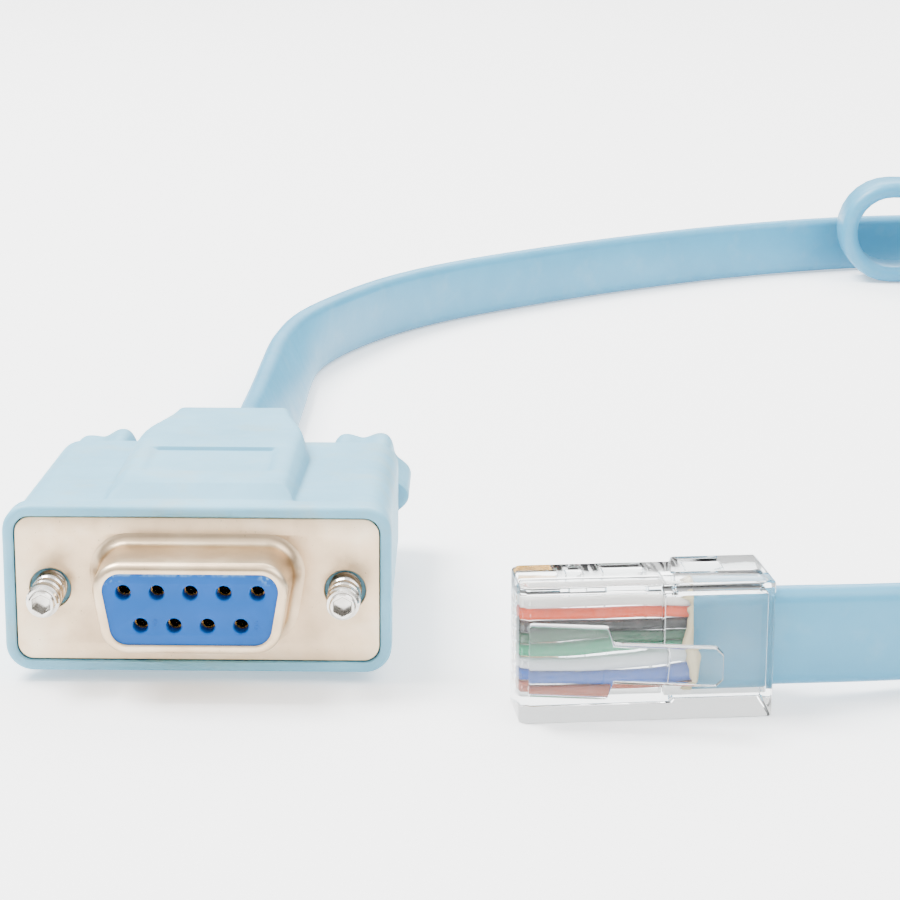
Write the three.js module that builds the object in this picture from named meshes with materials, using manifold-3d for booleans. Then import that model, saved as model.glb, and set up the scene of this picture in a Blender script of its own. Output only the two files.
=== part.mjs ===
// Console adapter cable: nine-way socket connector, flat eight-wire lead and modular plug.
// Millimetres, +Z up. Origin under the middle of the connector, mating face towards -Y.
import * as THREE from 'three';
import { mergeVertices } from 'three/addons/utils/BufferGeometryUtils.js';
import Module from 'manifold-3d';

const wasm = await Module();
wasm.setup();

// Running and seating clearances
const SLIP = 0.1; // drop-in fit of a pressed or moulded piece
const FACE_GAP = 0.3; // cord faces, turned pieces and cut pieces

// Connector hood, one soft moulding
const HOOD_REAR_HEIGHT = 11.5;
const HOOD_LENGTH = 30;
const HOOD_CORNER = 2.3;
const RIM_SIDE = 1.03; // rim left round the plate
const RIM_STEP = 0.3; // rim proud of the hood's body
const RIM_LENGTH = 2.2;
const RIM_PROUD = 0.25; // how far the rim stands in front of the plate

// Raised spine over and under the hood, running out into the neck
const SPINE_HEIGHT = 16.5;
const SPINE_START = 1.8;
const SPINE_BEVEL = 2.4;
const SPINE_TOP_WIDTH = 14;
const SPINE_FOOT_WIDTH = 16.6;
const SPINE_STRAIGHT = 19.4; // from the plate to the crease where the neck starts
const NECK_END = 35.3;
const NECK_WIDTH = 11.2;
const NECK_HEIGHT = 15.4;
const LABEL_WIDTH = 11.1;
const LABEL_LENGTH = 8.6;
const LABEL_START = 8.3;
const LABEL_DEPTH = 0.3;

// Metal shell with its mounting plate
const PLATE_END = 2.91; // from a screw's axis to the end of the plate
const PLATE_HEIGHT = 12.55;
const PLATE_THICK = 0.8;
const PLATE_CORNER = 1.4;
const SHELL_WIDTH = 16.33;
const SHELL_HEIGHT = 7.9;
const SHELL_REACH = 5.9; // front edge ahead of the plate
const SHELL_WALL = 0.8;
const SHELL_CORNER = 2.4;
const SHELL_FLARE = 0.8; // growth of the shell where it runs into the plate
const SHELL_FLARE_LENGTH = 1.3;
const SIDE_ANGLE = THREE.MathUtils.degToRad(10);

// Insulator and its nine socket contacts
const INSULATOR_SET_BACK = 0.15;
const INSULATOR_TAIL = 4.5; // length behind the plate's front face
const PIN_PITCH = 2.77;
const ROW_PITCH = 2.84;
const HOLE_RADIUS = 0.62;
const HOLE_MOUTH_RADIUS = 0.8;
const HOLE_MOUTH_DEPTH = 0.25;
const HOLE_THROAT = 1.2;
const CONTACT_RADIUS = 0.8;
const CONTACT_BORE_RADIUS = 0.52;
const CONTACT_BORE_DEPTH = 6;
const CONTACT_TAIL = 1.6; // solder end behind the insulator
const TAIL_ROOM = 1.2;

// Jackscrews with their thumb knobs
const SCREW_SPACING = 24.99;
const SCREW_REACH = 4.75;
const THREAD_RADIUS = 1.42;
const THREAD_DEPTH = 0.3;
const THREAD_PITCH = 0.635;
const THREAD_TURNS = 9;
const SCREW_POINT = 0.45; // bevel at the tip
const SOCKET_ACROSS_FLATS = 1.45;
const SOCKET_DEPTH = 1.1;
const PLATE_HOLE_RADIUS = 1.75;
const KNOB_RADIUS = 4.6;
const KNOB_FLUTE = 0.9; // depth of the grooves between its lobes
const KNOB_LOBES = 6;
const KNOB_LOBE_LEFT = THREE.MathUtils.degToRad(72);
const KNOB_LOBE_RIGHT = THREE.MathUtils.degToRad(62);
const KNOB_LENGTH = 12;
const KNOB_EDGE = 3.2; // radius of its domed end
const SHANK_IN_KNOB = 8;

// Modular plug, standing on one of its narrow sides
const PLUG_LENGTH = 21.02;
const PLUG_WIDTH = 11.68;
const PLUG_NOSE_THICK = 6.6;
const PLUG_REAR_THICK = 8.0;
const PLUG_NOSE_LENGTH = 13.66;
const PLUG_NOSE_BEVEL = 0.5;
const PLUG_PLACE = new THREE.Vector3(27.137, -28.298, 0);
const PLUG_TURN = THREE.MathUtils.degToRad(6.8);
const WIRE_COUNT = 8;
const WIRE_PITCH = 1.02;
const WIRE_RADIUS = 0.43;
const WIRE_START = 1.1; // from the nose
const WIRE_SLOT_HEIGHT = 1.2;
const WIRE_DEPTH = 3.8; // middle of the wires, from the latch side
const JACKET_POCKET_LENGTH = 8.9;
const JACKET_IN_PLUG = 6.6;
const BLADE_THICK = 0.35;
const BLADE_LENGTH = 3.0;
const BLADE_SET_BACK = 0.3; // below the contact side
const BLADE_START = 0.9;
const LATCH_ROOT = 0.76;
const LATCH_THICK = 1.1;
const LATCH_WIDE = 6.0;
const LATCH_WIDE_LENGTH = 6.3;
const LATCH_TAPER = 1.2;
const LATCH_NARROW = 3.25;
const LATCH_LENGTH = 15.6;
const LATCH_RISE = THREE.MathUtils.degToRad(11.5);

// Flat lead
const CORD_WIDTH = 8.5;
const CORD_THICK = 2.5;
const CORD_EDGE = 0.75; // bevel standing in for the round edges
const CORD_STEPS_FAR = 46;
const CORD_STEPS_NEAR = 32;

// Tied hank of the rest of the lead, three columns of nested turns
const HANK_TURN_PITCH = 8.8; // from one column to the next
const HANK_COLUMNS = 3;
const HANK_HEIGHT = 16;
const HANK_LEFT = 80.6; // round end of the farthest column
const HANK_INSET = 12; // the other columns end this much further right
const HANK_RIGHT = 194.4;
const HANK_FAR = 183.2;
const TIE_WIDTH = 6;
const TIE_THICK = 0.8;
const TIE_AT = 141;

const PLATE_WIDTH = SCREW_SPACING + 2 * PLATE_END;
const RIM_WIDTH = PLATE_WIDTH + 2 * RIM_SIDE;
const RIM_HEIGHT = PLATE_HEIGHT + 2 * RIM_SIDE;
const HOOD_WIDTH = RIM_WIDTH - 2 * RIM_STEP;
const HOOD_FRONT_HEIGHT = RIM_HEIGHT - 2 * RIM_STEP;
const AXIS_Z = SPINE_HEIGHT / 2; // height of the connector's middle above the table
const KNOB_START = HOOD_LENGTH + FACE_GAP;
const FRONT = Math.max(SHELL_REACH, SCREW_REACH);
const REAR = Math.max(KNOB_START + KNOB_LENGTH, NECK_END);
const PLATE_Y = (FRONT - REAR) / 2; // front face of the mounting plate

const CORD_FAR_POINTS = [
  [0, 17.4, 8.25], [0, 22, 8.25], [0, 42, 5.6], [0, 62, 4.5], [0.1, 80, 4.38], [0.3, 92, 4.38],
  [1.5, 104.5, 4.38], [5.2, 117, 4.38], [11.2, 130, 4.38], [19.5, 141.8, 4.38], [36, 158, 4.38],
  [51, 170, 4.38], [63.5, 178.3, 4.38], [82.9, 187.3, 4.38], [104, 191, 4.38], [128, 192.2, 4.38],
  [155, 192.8, 4.38], [178, 193.4, 4.38], [196, 193.8, 4.38], [205.5, 193.8, 4.38], [213, 186.4, 4.38],
  [205.5, 178.95, 4.38], [200, 178.95, 4.38], [194.7, 178.95, 4.38],
];
const CORD_NEAR_POINTS = [
  [47.86, -22.02, 5.84], [59, -19.3, 5.35], [75, -13.8, 4.6], [100, -3.8, 4.38], [128, 10, 4.38],
  [154, 29, 4.38], [176, 56, 4.38], [193, 88, 4.38], [204, 119, 5.6], [208.5, 143, 8.9], [206.5, 160, 11.4],
  [200, 169.4, 11.9], [194.8, 170.15, 11.9],
];

const MATERIALS = {
  hood: new THREE.MeshStandardMaterial({ color: '#b4d6e2', roughness: 0.55, metalness: 0 }),
  cord: new THREE.MeshStandardMaterial({ color: '#b9dcea', roughness: 0.5, metalness: 0 }),
  nickel: new THREE.MeshStandardMaterial({ color: '#cfc5b8', roughness: 0.35, metalness: 1 }),
  insulator: new THREE.MeshStandardMaterial({ color: '#1269b4', roughness: 0.5, metalness: 0 }),
  gold: new THREE.MeshStandardMaterial({ color: '#c9a04e', roughness: 0.3, metalness: 1 }),
  steel: new THREE.MeshStandardMaterial({ color: '#d6d4cf', roughness: 0.25, metalness: 1 }),
  clear: new THREE.MeshStandardMaterial({ color: '#eef3f2', roughness: 0.1, metalness: 0 }),
  tie: new THREE.MeshStandardMaterial({ color: '#2a2a2a', roughness: 0.6, metalness: 0 }),
};
const WIRE_COLOURS = ['#c98a78', '#3f7fc0', '#dfe3e8', '#3fae8a', '#1f6a46', '#2b2b2b', '#ef7438', '#f4efea'];

/** A closed geometry as a solid that can be joined and cut. */
function solid(geometry) {
  const bare = geometry.clone();
  bare.deleteAttribute('normal');
  bare.deleteAttribute('uv');
  const merged = mergeVertices(bare, 1e-4);
  return new wasm.Manifold(new wasm.Mesh({
    numProp: 3,
    vertProperties: new Float32Array(merged.attributes.position.array),
    triVerts: new Uint32Array(merged.index.array),
  }));
}

/** A solid back as a geometry with flat faces. */
function surface(manifold) {
  const mesh = manifold.getMesh();
  const geometry = new THREE.BufferGeometry();
  geometry.setAttribute('position', new THREE.BufferAttribute(new Float32Array(mesh.vertProperties), 3));
  geometry.setIndex(new THREE.BufferAttribute(new Uint32Array(mesh.triVerts), 1));
  const flat = geometry.toNonIndexed();
  flat.computeVertexNormals();
  return flat;
}

/** A closed outline through corner points, each corner rounded by its radius. */
function roundedOutline(corners, radius, divisions) {
  const points = [];
  corners.forEach((corner, index) => {
    const before = corners[(index + corners.length - 1) % corners.length];
    const after = corners[(index + 1) % corners.length];
    const toBefore = before.clone().sub(corner).normalize();
    const toAfter = after.clone().sub(corner).normalize();
    const half = Math.acos(THREE.MathUtils.clamp(toBefore.dot(toAfter), -1, 1)) / 2;
    const centre = corner.clone().addScaledVector(toBefore.clone().add(toAfter).normalize(), radius / Math.sin(half));
    const start = corner.clone().addScaledVector(toBefore, radius / Math.tan(half)).sub(centre).angle();
    let sweep = corner.clone().addScaledVector(toAfter, radius / Math.tan(half)).sub(centre).angle() - start;
    sweep -= 2 * Math.PI * Math.round(sweep / (2 * Math.PI));
    for (let step = 0; step <= divisions; step += 1) {
      const angle = start + (sweep * step) / divisions;
      points.push(new THREE.Vector2(centre.x + radius * Math.cos(angle), centre.y + radius * Math.sin(angle)));
    }
  });
  return points;
}

/** Rectangle about the origin with rounded corners. */
function rectangle(width, height, radius, divisions = 5) {
  const corners = [
    new THREE.Vector2(width / 2, height / 2), new THREE.Vector2(-width / 2, height / 2),
    new THREE.Vector2(-width / 2, -height / 2), new THREE.Vector2(width / 2, -height / 2),
  ];
  return roundedOutline(corners, radius, divisions);
}

/** The D outline of the mating face, wide side up, drawn in by an inset all round. */
function dOutline(inset, divisions = 6) {
  const radius = SHELL_CORNER - inset;
  const halfHeight = SHELL_HEIGHT / 2 - inset;
  const arcCentre = SHELL_WIDTH / 2 - SHELL_CORNER;
  const top = arcCentre + (radius * (1 + Math.sin(SIDE_ANGLE))) / Math.cos(SIDE_ANGLE);
  const bottom = top - 2 * halfHeight * Math.tan(SIDE_ANGLE);
  const corners = [
    new THREE.Vector2(top, halfHeight), new THREE.Vector2(-top, halfHeight),
    new THREE.Vector2(-bottom, -halfHeight), new THREE.Vector2(bottom, -halfHeight),
  ];
  return roundedOutline(corners, radius, divisions);
}

/** Outline in X and Z pushed along Y from one depth to another. */
function alongY(outline, from, to) {
  const shape = new THREE.Shape(outline);
  const geometry = new THREE.ExtrudeGeometry(shape, { depth: to - from, bevelEnabled: false, steps: 1 });
  geometry.rotateX(Math.PI / 2);
  geometry.translate(0, to, 0);
  return geometry;
}

/** Outline in Y and Z pushed along X, centred on the YZ plane. */
function alongX(outline, width) {
  const shape = new THREE.Shape(outline);
  const geometry = new THREE.ExtrudeGeometry(shape, { depth: width, bevelEnabled: false, steps: 1 });
  geometry.translate(0, 0, -width / 2);
  geometry.rotateY(Math.PI / 2);
  geometry.rotateX(Math.PI / 2);
  return geometry;
}

/** Outline in X and Y pushed up along Z. */
function alongZ(outline, height, from = 0) {
  const shape = new THREE.Shape(outline);
  const geometry = new THREE.ExtrudeGeometry(shape, { depth: height, bevelEnabled: false, steps: 1 });
  geometry.translate(0, 0, from);
  return geometry;
}

/** Block between two corners. */
function block(low, high) {
  const size = [0, 1, 2].map((axis) => high[axis] - low[axis]);
  const geometry = new THREE.BoxGeometry(...size);
  geometry.translate(...[0, 1, 2].map((axis) => (low[axis] + high[axis]) / 2));
  return geometry;
}

/** Shape turned about the Y axis through a point, from a list of [radius, y] pairs. */
function turned(profile, x, z, segments) {
  const points = profile.map(([radius, y]) => new THREE.Vector2(radius, y));
  const geometry = new THREE.LatheGeometry(points, segments);
  geometry.translate(x, 0, z);
  return geometry;
}

/** Scales X and Z about the connector's axis, growing evenly from one depth to another. */
function tapered(geometry, from, to, scaleX, scaleZ) {
  const position = geometry.attributes.position;
  for (let index = 0; index < position.count; index += 1) {
    const share = THREE.MathUtils.clamp((position.getY(index) - from) / (to - from), 0, 1);
    position.setX(index, position.getX(index) * (1 + (scaleX - 1) * share));
    position.setZ(index, position.getZ(index) * (1 + (scaleZ - 1) * share));
  }
  return geometry;
}

/** Contact places on the mating face: five in the top row, four in the bottom row. */
function contactPlaces() {
  const places = [];
  for (let pin = 0; pin < 5; pin += 1) places.push([(2 - pin) * PIN_PITCH, ROW_PITCH / 2]);
  for (let pin = 0; pin < 4; pin += 1) places.push([(1.5 - pin) * PIN_PITCH, -ROW_PITCH / 2]);
  return places;
}

/** Hood with its spine, label recess, plate seat, insulator pocket and screw bores. */
function hoodSolid() {
  const body = tapered(
    alongY(rectangle(HOOD_WIDTH, HOOD_FRONT_HEIGHT, HOOD_CORNER), 0, HOOD_LENGTH),
    0, HOOD_LENGTH, 1, HOOD_REAR_HEIGHT / HOOD_FRONT_HEIGHT,
  );
  const rim = alongY(rectangle(RIM_WIDTH, RIM_HEIGHT, HOOD_CORNER), -RIM_PROUD, RIM_LENGTH);
  const seat = alongY(
    rectangle(PLATE_WIDTH + 2 * SLIP, PLATE_HEIGHT + 2 * SLIP, PLATE_CORNER), -1, PLATE_THICK + SLIP,
  );
  const pocket = alongY(
    dOutline(SHELL_WALL + SLIP - FACE_GAP), 0, INSULATOR_TAIL + CONTACT_TAIL + TAIL_ROOM,
  );
  let hood = solid(body).add(solid(rim)).add(spineSolid()).subtract(solid(seat)).subtract(solid(pocket));
  for (const side of [-1, 1]) {
    const bore = turned(
      [[0, -1], [THREAD_RADIUS + SLIP, -1], [THREAD_RADIUS + SLIP, HOOD_LENGTH + 1], [0, HOOD_LENGTH + 1]],
      side * SCREW_SPACING / 2, 0, 24,
    );
    hood = hood.subtract(solid(bore));
  }
  const label = block(
    [-LABEL_WIDTH / 2, LABEL_START, SPINE_HEIGHT / 2 - LABEL_DEPTH],
    [LABEL_WIDTH / 2, LABEL_START + LABEL_LENGTH, SPINE_HEIGHT],
  );
  return hood.subtract(solid(label));
}

/** Spine: the common part of its side view, its plan and its front view. */
function spineSolid() {
  const half = SPINE_HEIGHT / 2;
  const bevelFoot = HOOD_FRONT_HEIGHT / 2;
  const sideView = [
    [SPINE_START, bevelFoot], [SPINE_START + SPINE_BEVEL, half], [SPINE_STRAIGHT, half], [NECK_END, NECK_HEIGHT / 2],
  ];
  const side = [...sideView, ...sideView.map(([y, z]) => [y, -z]).reverse()].map((at) => new THREE.Vector2(...at));
  const foot = SPINE_FOOT_WIDTH / 2;
  const planView = [[foot, SPINE_START], [foot, SPINE_STRAIGHT], [NECK_WIDTH / 2, NECK_END]];
  const plan = [...planView, ...planView.map(([x, y]) => [-x, y]).reverse()].map((at) => new THREE.Vector2(...at));
  const top = SPINE_TOP_WIDTH / 2;
  const shoulder = HOOD_FRONT_HEIGHT / 2;
  const frontView = [[top, half], [-top, half], [-foot, shoulder], [-foot, -shoulder], [-top, -half], [top, -half],
    [foot, -shoulder], [foot, shoulder]].map((at) => new THREE.Vector2(...at));
  return solid(alongX(side, SPINE_FOOT_WIDTH + 2))
    .intersect(solid(alongZ(plan, SPINE_HEIGHT + 2, -half - 1)))
    .intersect(solid(alongY(frontView, 0, NECK_END + 1)));
}

/** Plate with its screw holes and the D shell standing out of it. */
function shellSolid() {
  const plate = alongY(rectangle(PLATE_WIDTH, PLATE_HEIGHT, PLATE_CORNER), 0, PLATE_THICK);
  const tube = alongY(dOutline(0), -SHELL_REACH, 0.01);
  const flare = tapered(
    alongY(dOutline(0), -SHELL_FLARE_LENGTH, 0.01), -SHELL_FLARE_LENGTH, 0.01,
    1 + (2 * SHELL_FLARE) / SHELL_WIDTH, 1 + (2 * SHELL_FLARE) / SHELL_HEIGHT,
  );
  const hollow = alongY(dOutline(SHELL_WALL), -SHELL_REACH - 1, PLATE_THICK + 1);
  let shell = solid(plate).add(solid(tube)).add(solid(flare)).subtract(solid(hollow));
  for (const side of [-1, 1]) {
    const hole = turned(
      [[0, -1], [PLATE_HOLE_RADIUS, -1], [PLATE_HOLE_RADIUS, PLATE_THICK + 1], [0, PLATE_THICK + 1]],
      side * SCREW_SPACING / 2, 0, 28,
    );
    shell = shell.subtract(solid(hole));
  }
  return shell;
}

const INSULATOR_FRONT = -SHELL_REACH + INSULATOR_SET_BACK;
const CONTACT_FRONT = INSULATOR_FRONT + HOLE_MOUTH_DEPTH + HOLE_THROAT;

/** Insulator with a stepped hole for each contact. */
function insulatorSolid() {
  let insulator = solid(alongY(dOutline(SHELL_WALL + SLIP), INSULATOR_FRONT, INSULATOR_TAIL));
  for (const [x, z] of contactPlaces()) {
    const bore = CONTACT_RADIUS + SLIP;
    const hole = turned([
      [0, INSULATOR_FRONT - 1], [HOLE_MOUTH_RADIUS, INSULATOR_FRONT - 1], [HOLE_MOUTH_RADIUS, INSULATOR_FRONT],
      [HOLE_RADIUS, INSULATOR_FRONT + HOLE_MOUTH_DEPTH], [HOLE_RADIUS, CONTACT_FRONT - SLIP],
      [bore, CONTACT_FRONT - SLIP], [bore, INSULATOR_TAIL + 1], [0, INSULATOR_TAIL + 1],
    ], x, z, 14);
    insulator = insulator.subtract(solid(hole));
  }
  return insulator;
}

/** One socket contact, open at its mating end. */
function contactGeometry(x, z) {
  return turned([
    [0, CONTACT_FRONT + CONTACT_BORE_DEPTH], [CONTACT_BORE_RADIUS, CONTACT_FRONT + CONTACT_BORE_DEPTH],
    [CONTACT_BORE_RADIUS, CONTACT_FRONT], [CONTACT_RADIUS, CONTACT_FRONT],
    [CONTACT_RADIUS, INSULATOR_TAIL + CONTACT_TAIL], [0, INSULATOR_TAIL + CONTACT_TAIL],
  ], x, z, 12);
}

/** Jackscrew: ridged thread, hexagon socket in its tip, plain shank up into the knob. */
function jackscrewSolid(x) {
  const root = THREAD_RADIUS - THREAD_DEPTH;
  const profile = [[0, -SCREW_REACH], [root, -SCREW_REACH], [root, -SCREW_REACH + SCREW_POINT]];
  for (let turn = 0; turn < THREAD_TURNS; turn += 1) {
    const y = -SCREW_REACH + SCREW_POINT + turn * THREAD_PITCH;
    profile.push([THREAD_RADIUS, y + THREAD_PITCH * 0.5], [root, y + THREAD_PITCH]);
  }
  profile.push([root, KNOB_START + SHANK_IN_KNOB], [0, KNOB_START + SHANK_IN_KNOB]);
  const screw = solid(turned(profile, x, 0, 20));
  const corner = SOCKET_ACROSS_FLATS / Math.sqrt(3);
  const socket = solid(turned(
    [[0, -SCREW_REACH - 1], [corner, -SCREW_REACH - 1], [corner, -SCREW_REACH + SOCKET_DEPTH],
      [0, -SCREW_REACH + SOCKET_DEPTH]], x, 0, 6,
  ));
  return screw.subtract(socket);
}

/** Front view of a thumb knob: six round lobes. */
function lobedOutline(x, lobeAt, divisions = 48) {
  const outline = [];
  for (let step = 0; step < divisions; step += 1) {
    const angle = (2 * Math.PI * step) / divisions;
    const reach = KNOB_RADIUS - (KNOB_FLUTE / 2) * (1 - Math.cos(KNOB_LOBES * (angle - lobeAt)));
    outline.push(new THREE.Vector2(x + reach * Math.cos(angle), reach * Math.sin(angle)));
  }
  return outline;
}

/** Thumb knob with its blind bore for the screw's shank. */
function knobSolid(x, lobeAt) {
  const bore = THREAD_RADIUS - THREAD_DEPTH + SLIP;
  const end = KNOB_START + KNOB_LENGTH;
  const profile = [
    [0, KNOB_START + SHANK_IN_KNOB + SLIP], [bore, KNOB_START + SHANK_IN_KNOB + SLIP], [bore, KNOB_START],
    [KNOB_RADIUS, KNOB_START],
  ];
  for (let step = 0; step <= 4; step += 1) {
    const angle = (Math.PI / 2) * (step / 4);
    profile.push([
      KNOB_RADIUS - KNOB_EDGE + KNOB_EDGE * Math.cos(angle), end - KNOB_EDGE + KNOB_EDGE * Math.sin(angle),
    ]);
  }
  profile.push([0, end]);
  const lobes = alongY(lobedOutline(x, lobeAt), KNOB_START - 1, end + 1);
  return solid(turned(profile, x, 0, 24)).intersect(solid(lobes));
}

/** Height of one wire in the plug, counted from the table side up. */
function wireHeight(index) {
  return PLUG_WIDTH / 2 + (index - (WIRE_COUNT - 1) / 2) * WIRE_PITCH;
}

const WIRE_END = PLUG_LENGTH - JACKET_IN_PLUG - FACE_GAP;
const BLADE_FOOT = WIRE_DEPTH + WIRE_SLOT_HEIGHT / 2 + SLIP;

/** Clear plug body: stepped block with wire slot, jacket pocket and blade slots. */
function plugBodySolid() {
  const outline = [
    [PLUG_NOSE_BEVEL, 0], [PLUG_LENGTH, 0], [PLUG_LENGTH, PLUG_REAR_THICK], [PLUG_NOSE_LENGTH, PLUG_REAR_THICK],
    [PLUG_NOSE_LENGTH, PLUG_NOSE_THICK], [PLUG_NOSE_BEVEL, PLUG_NOSE_THICK],
    [0, PLUG_NOSE_THICK - PLUG_NOSE_BEVEL], [0, PLUG_NOSE_BEVEL],
  ].map((at) => new THREE.Vector2(...at));
  const middle = PLUG_WIDTH / 2;
  const jacketRoom = CORD_THICK / 2 + FACE_GAP;
  const jacketHalf = CORD_WIDTH / 2 + FACE_GAP;
  const slotHalf = (WIRE_COUNT * WIRE_PITCH) / 2 + SLIP;
  const pocket = block(
    [PLUG_LENGTH - JACKET_POCKET_LENGTH, WIRE_DEPTH - jacketRoom, middle - Math.max(jacketHalf, slotHalf)],
    [PLUG_LENGTH + 1, WIRE_DEPTH + jacketRoom, middle + Math.max(jacketHalf, slotHalf)],
  );
  const slot = block(
    [WIRE_START - FACE_GAP, WIRE_DEPTH - WIRE_SLOT_HEIGHT / 2, middle - slotHalf],
    [PLUG_LENGTH - JACKET_POCKET_LENGTH + 1, WIRE_DEPTH + WIRE_SLOT_HEIGHT / 2, middle + slotHalf],
  );
  let body = solid(alongZ(outline, PLUG_WIDTH)).subtract(solid(pocket)).subtract(solid(slot));
  for (let index = 0; index < WIRE_COUNT; index += 1) {
    const z = wireHeight(index);
    const cut = block(
      [BLADE_START - SLIP, WIRE_DEPTH, z - BLADE_THICK / 2 - SLIP],
      [BLADE_START + BLADE_LENGTH + SLIP, PLUG_NOSE_THICK + 1, z + BLADE_THICK / 2 + SLIP],
    );
    body = body.subtract(solid(cut));
  }
  return body;
}

/** Gold blade over one wire. */
function bladeGeometry(index) {
  const z = wireHeight(index);
  return block(
    [BLADE_START, BLADE_FOOT, z - BLADE_THICK / 2],
    [BLADE_START + BLADE_LENGTH, PLUG_NOSE_THICK - BLADE_SET_BACK, z + BLADE_THICK / 2],
  );
}

/** One insulated wire lying in the plug's slot. */
function wireGeometry(index) {
  const geometry = new THREE.CylinderGeometry(WIRE_RADIUS, WIRE_RADIUS, WIRE_END - WIRE_START, 10);
  geometry.rotateZ(Math.PI / 2);
  geometry.translate((WIRE_START + WIRE_END) / 2, WIRE_DEPTH, wireHeight(index));
  return geometry;
}

/** Latch tongue lying flat, root at the origin, its face towards -Y. */
function latchGeometry() {
  const wide = LATCH_WIDE / 2;
  const narrow = LATCH_NARROW / 2;
  const roundAt = LATCH_LENGTH - narrow;
  const outline = [
    [0, -wide], [LATCH_WIDE_LENGTH, -wide], [LATCH_WIDE_LENGTH + LATCH_TAPER, -narrow], [roundAt, -narrow],
  ];
  for (let step = 1; step < 8; step += 1) {
    const angle = -Math.PI / 2 + (Math.PI * step) / 8;
    outline.push([roundAt + narrow * Math.cos(angle), narrow * Math.sin(angle)]);
  }
  outline.push([roundAt, narrow], [LATCH_WIDE_LENGTH + LATCH_TAPER, narrow], [LATCH_WIDE_LENGTH, wide], [0, wide]);
  const shape = new THREE.Shape(outline.map((at) => new THREE.Vector2(...at)));
  const geometry = new THREE.ExtrudeGeometry(shape, { depth: LATCH_THICK, bevelEnabled: false, steps: 1 });
  geometry.rotateX(Math.PI / 2);
  return geometry;
}

/** Cord section standing on edge: bevelled flat strip. */
function cordSection() {
  const across = CORD_THICK / 2;
  const up = CORD_WIDTH / 2;
  const edge = CORD_EDGE;
  return [
    [across, up - edge], [across - edge, up], [edge - across, up], [-across, up - edge],
    [-across, edge - up], [edge - across, -up], [across - edge, -up], [across, edge - up],
  ].map((at) => new THREE.Vector2(...at));
}

/** Route whose sections stay upright, so that the strip stands on its edge. */
class UprightRoute extends THREE.CatmullRomCurve3 {
  computeFrenetFrames(segments) {
    const up = new THREE.Vector3(0, 0, 1);
    const frames = { tangents: [], normals: [], binormals: [] };
    for (let step = 0; step <= segments; step += 1) {
      const tangent = this.getTangentAt(step / segments);
      const normal = new THREE.Vector3().crossVectors(up, tangent).normalize();
      frames.tangents.push(tangent);
      frames.normals.push(normal);
      frames.binormals.push(new THREE.Vector3().crossVectors(tangent, normal));
    }
    return frames;
  }
}

/** Cord laid through a list of points. */
function cordGeometry(points, steps) {
  const route = new UprightRoute(points.map((at) => new THREE.Vector3(...at)), false, 'centripetal');
  return new THREE.ExtrudeGeometry(new THREE.Shape(cordSection()), { steps, extrudePath: route, bevelEnabled: false });
}

/** Side view of the hank or of its tie groove: a bar with round ends. */
function roundEnded(left, right, height, divisions = 12) {
  const radius = height / 2;
  const outline = [];
  for (let step = 0; step <= divisions; step += 1) {
    const angle = -Math.PI / 2 + (Math.PI * step) / divisions;
    outline.push(new THREE.Vector2(right - radius + radius * Math.cos(angle), radius + radius * Math.sin(angle)));
  }
  for (let step = 0; step <= divisions; step += 1) {
    const angle = Math.PI / 2 + (Math.PI * step) / divisions;
    outline.push(new THREE.Vector2(left + radius + radius * Math.cos(angle), radius + radius * Math.sin(angle)));
  }
  return outline;
}

const HANK_NEAR = HANK_FAR - CORD_WIDTH - (HANK_COLUMNS - 1) * HANK_TURN_PITCH;
const GROOVE_DEPTH = TIE_THICK + FACE_GAP;

/** Hank of the folded lead, drawn in above and below where the tie holds it. */
function hankSolid() {
  const farColumn = alongY(roundEnded(HANK_LEFT, HANK_RIGHT, HANK_HEIGHT), HANK_FAR - CORD_WIDTH, HANK_FAR);
  const others = alongY(
    roundEnded(HANK_LEFT + HANK_INSET, HANK_RIGHT, HANK_HEIGHT), HANK_NEAR, HANK_FAR - CORD_WIDTH + 0.01,
  );
  const half = TIE_WIDTH / 2 + FACE_GAP;
  const below = block([TIE_AT - half, HANK_NEAR - 1, -1], [TIE_AT + half, HANK_FAR + 1, GROOVE_DEPTH]);
  const above = block(
    [TIE_AT - half, HANK_NEAR - 1, HANK_HEIGHT - GROOVE_DEPTH], [TIE_AT + half, HANK_FAR + 1, HANK_HEIGHT + 1],
  );
  return solid(farColumn).add(solid(others)).subtract(solid(below)).subtract(solid(above));
}

/** Tie band round the hank, lying in its two grooves. */
function tieSolid() {
  const half = TIE_WIDTH / 2;
  const outer = block(
    [TIE_AT - half, HANK_NEAR - GROOVE_DEPTH, 0], [TIE_AT + half, HANK_FAR + GROOVE_DEPTH, HANK_HEIGHT],
  );
  const inner = block(
    [TIE_AT - half - 1, HANK_NEAR - FACE_GAP, TIE_THICK],
    [TIE_AT + half + 1, HANK_FAR + FACE_GAP, HANK_HEIGHT - TIE_THICK],
  );
  return solid(outer).subtract(solid(inner));
}

const cable = new THREE.Group();
const connector = new THREE.Group();
connector.position.set(0, PLATE_Y, AXIS_Z);
cable.add(connector);

/** Adds one named piece to a group. */
function addPiece(group, name, geometry, material) {
  const piece = new THREE.Mesh(geometry, material.clone());
  piece.name = name;
  group.add(piece);
  return piece;
}

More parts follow.
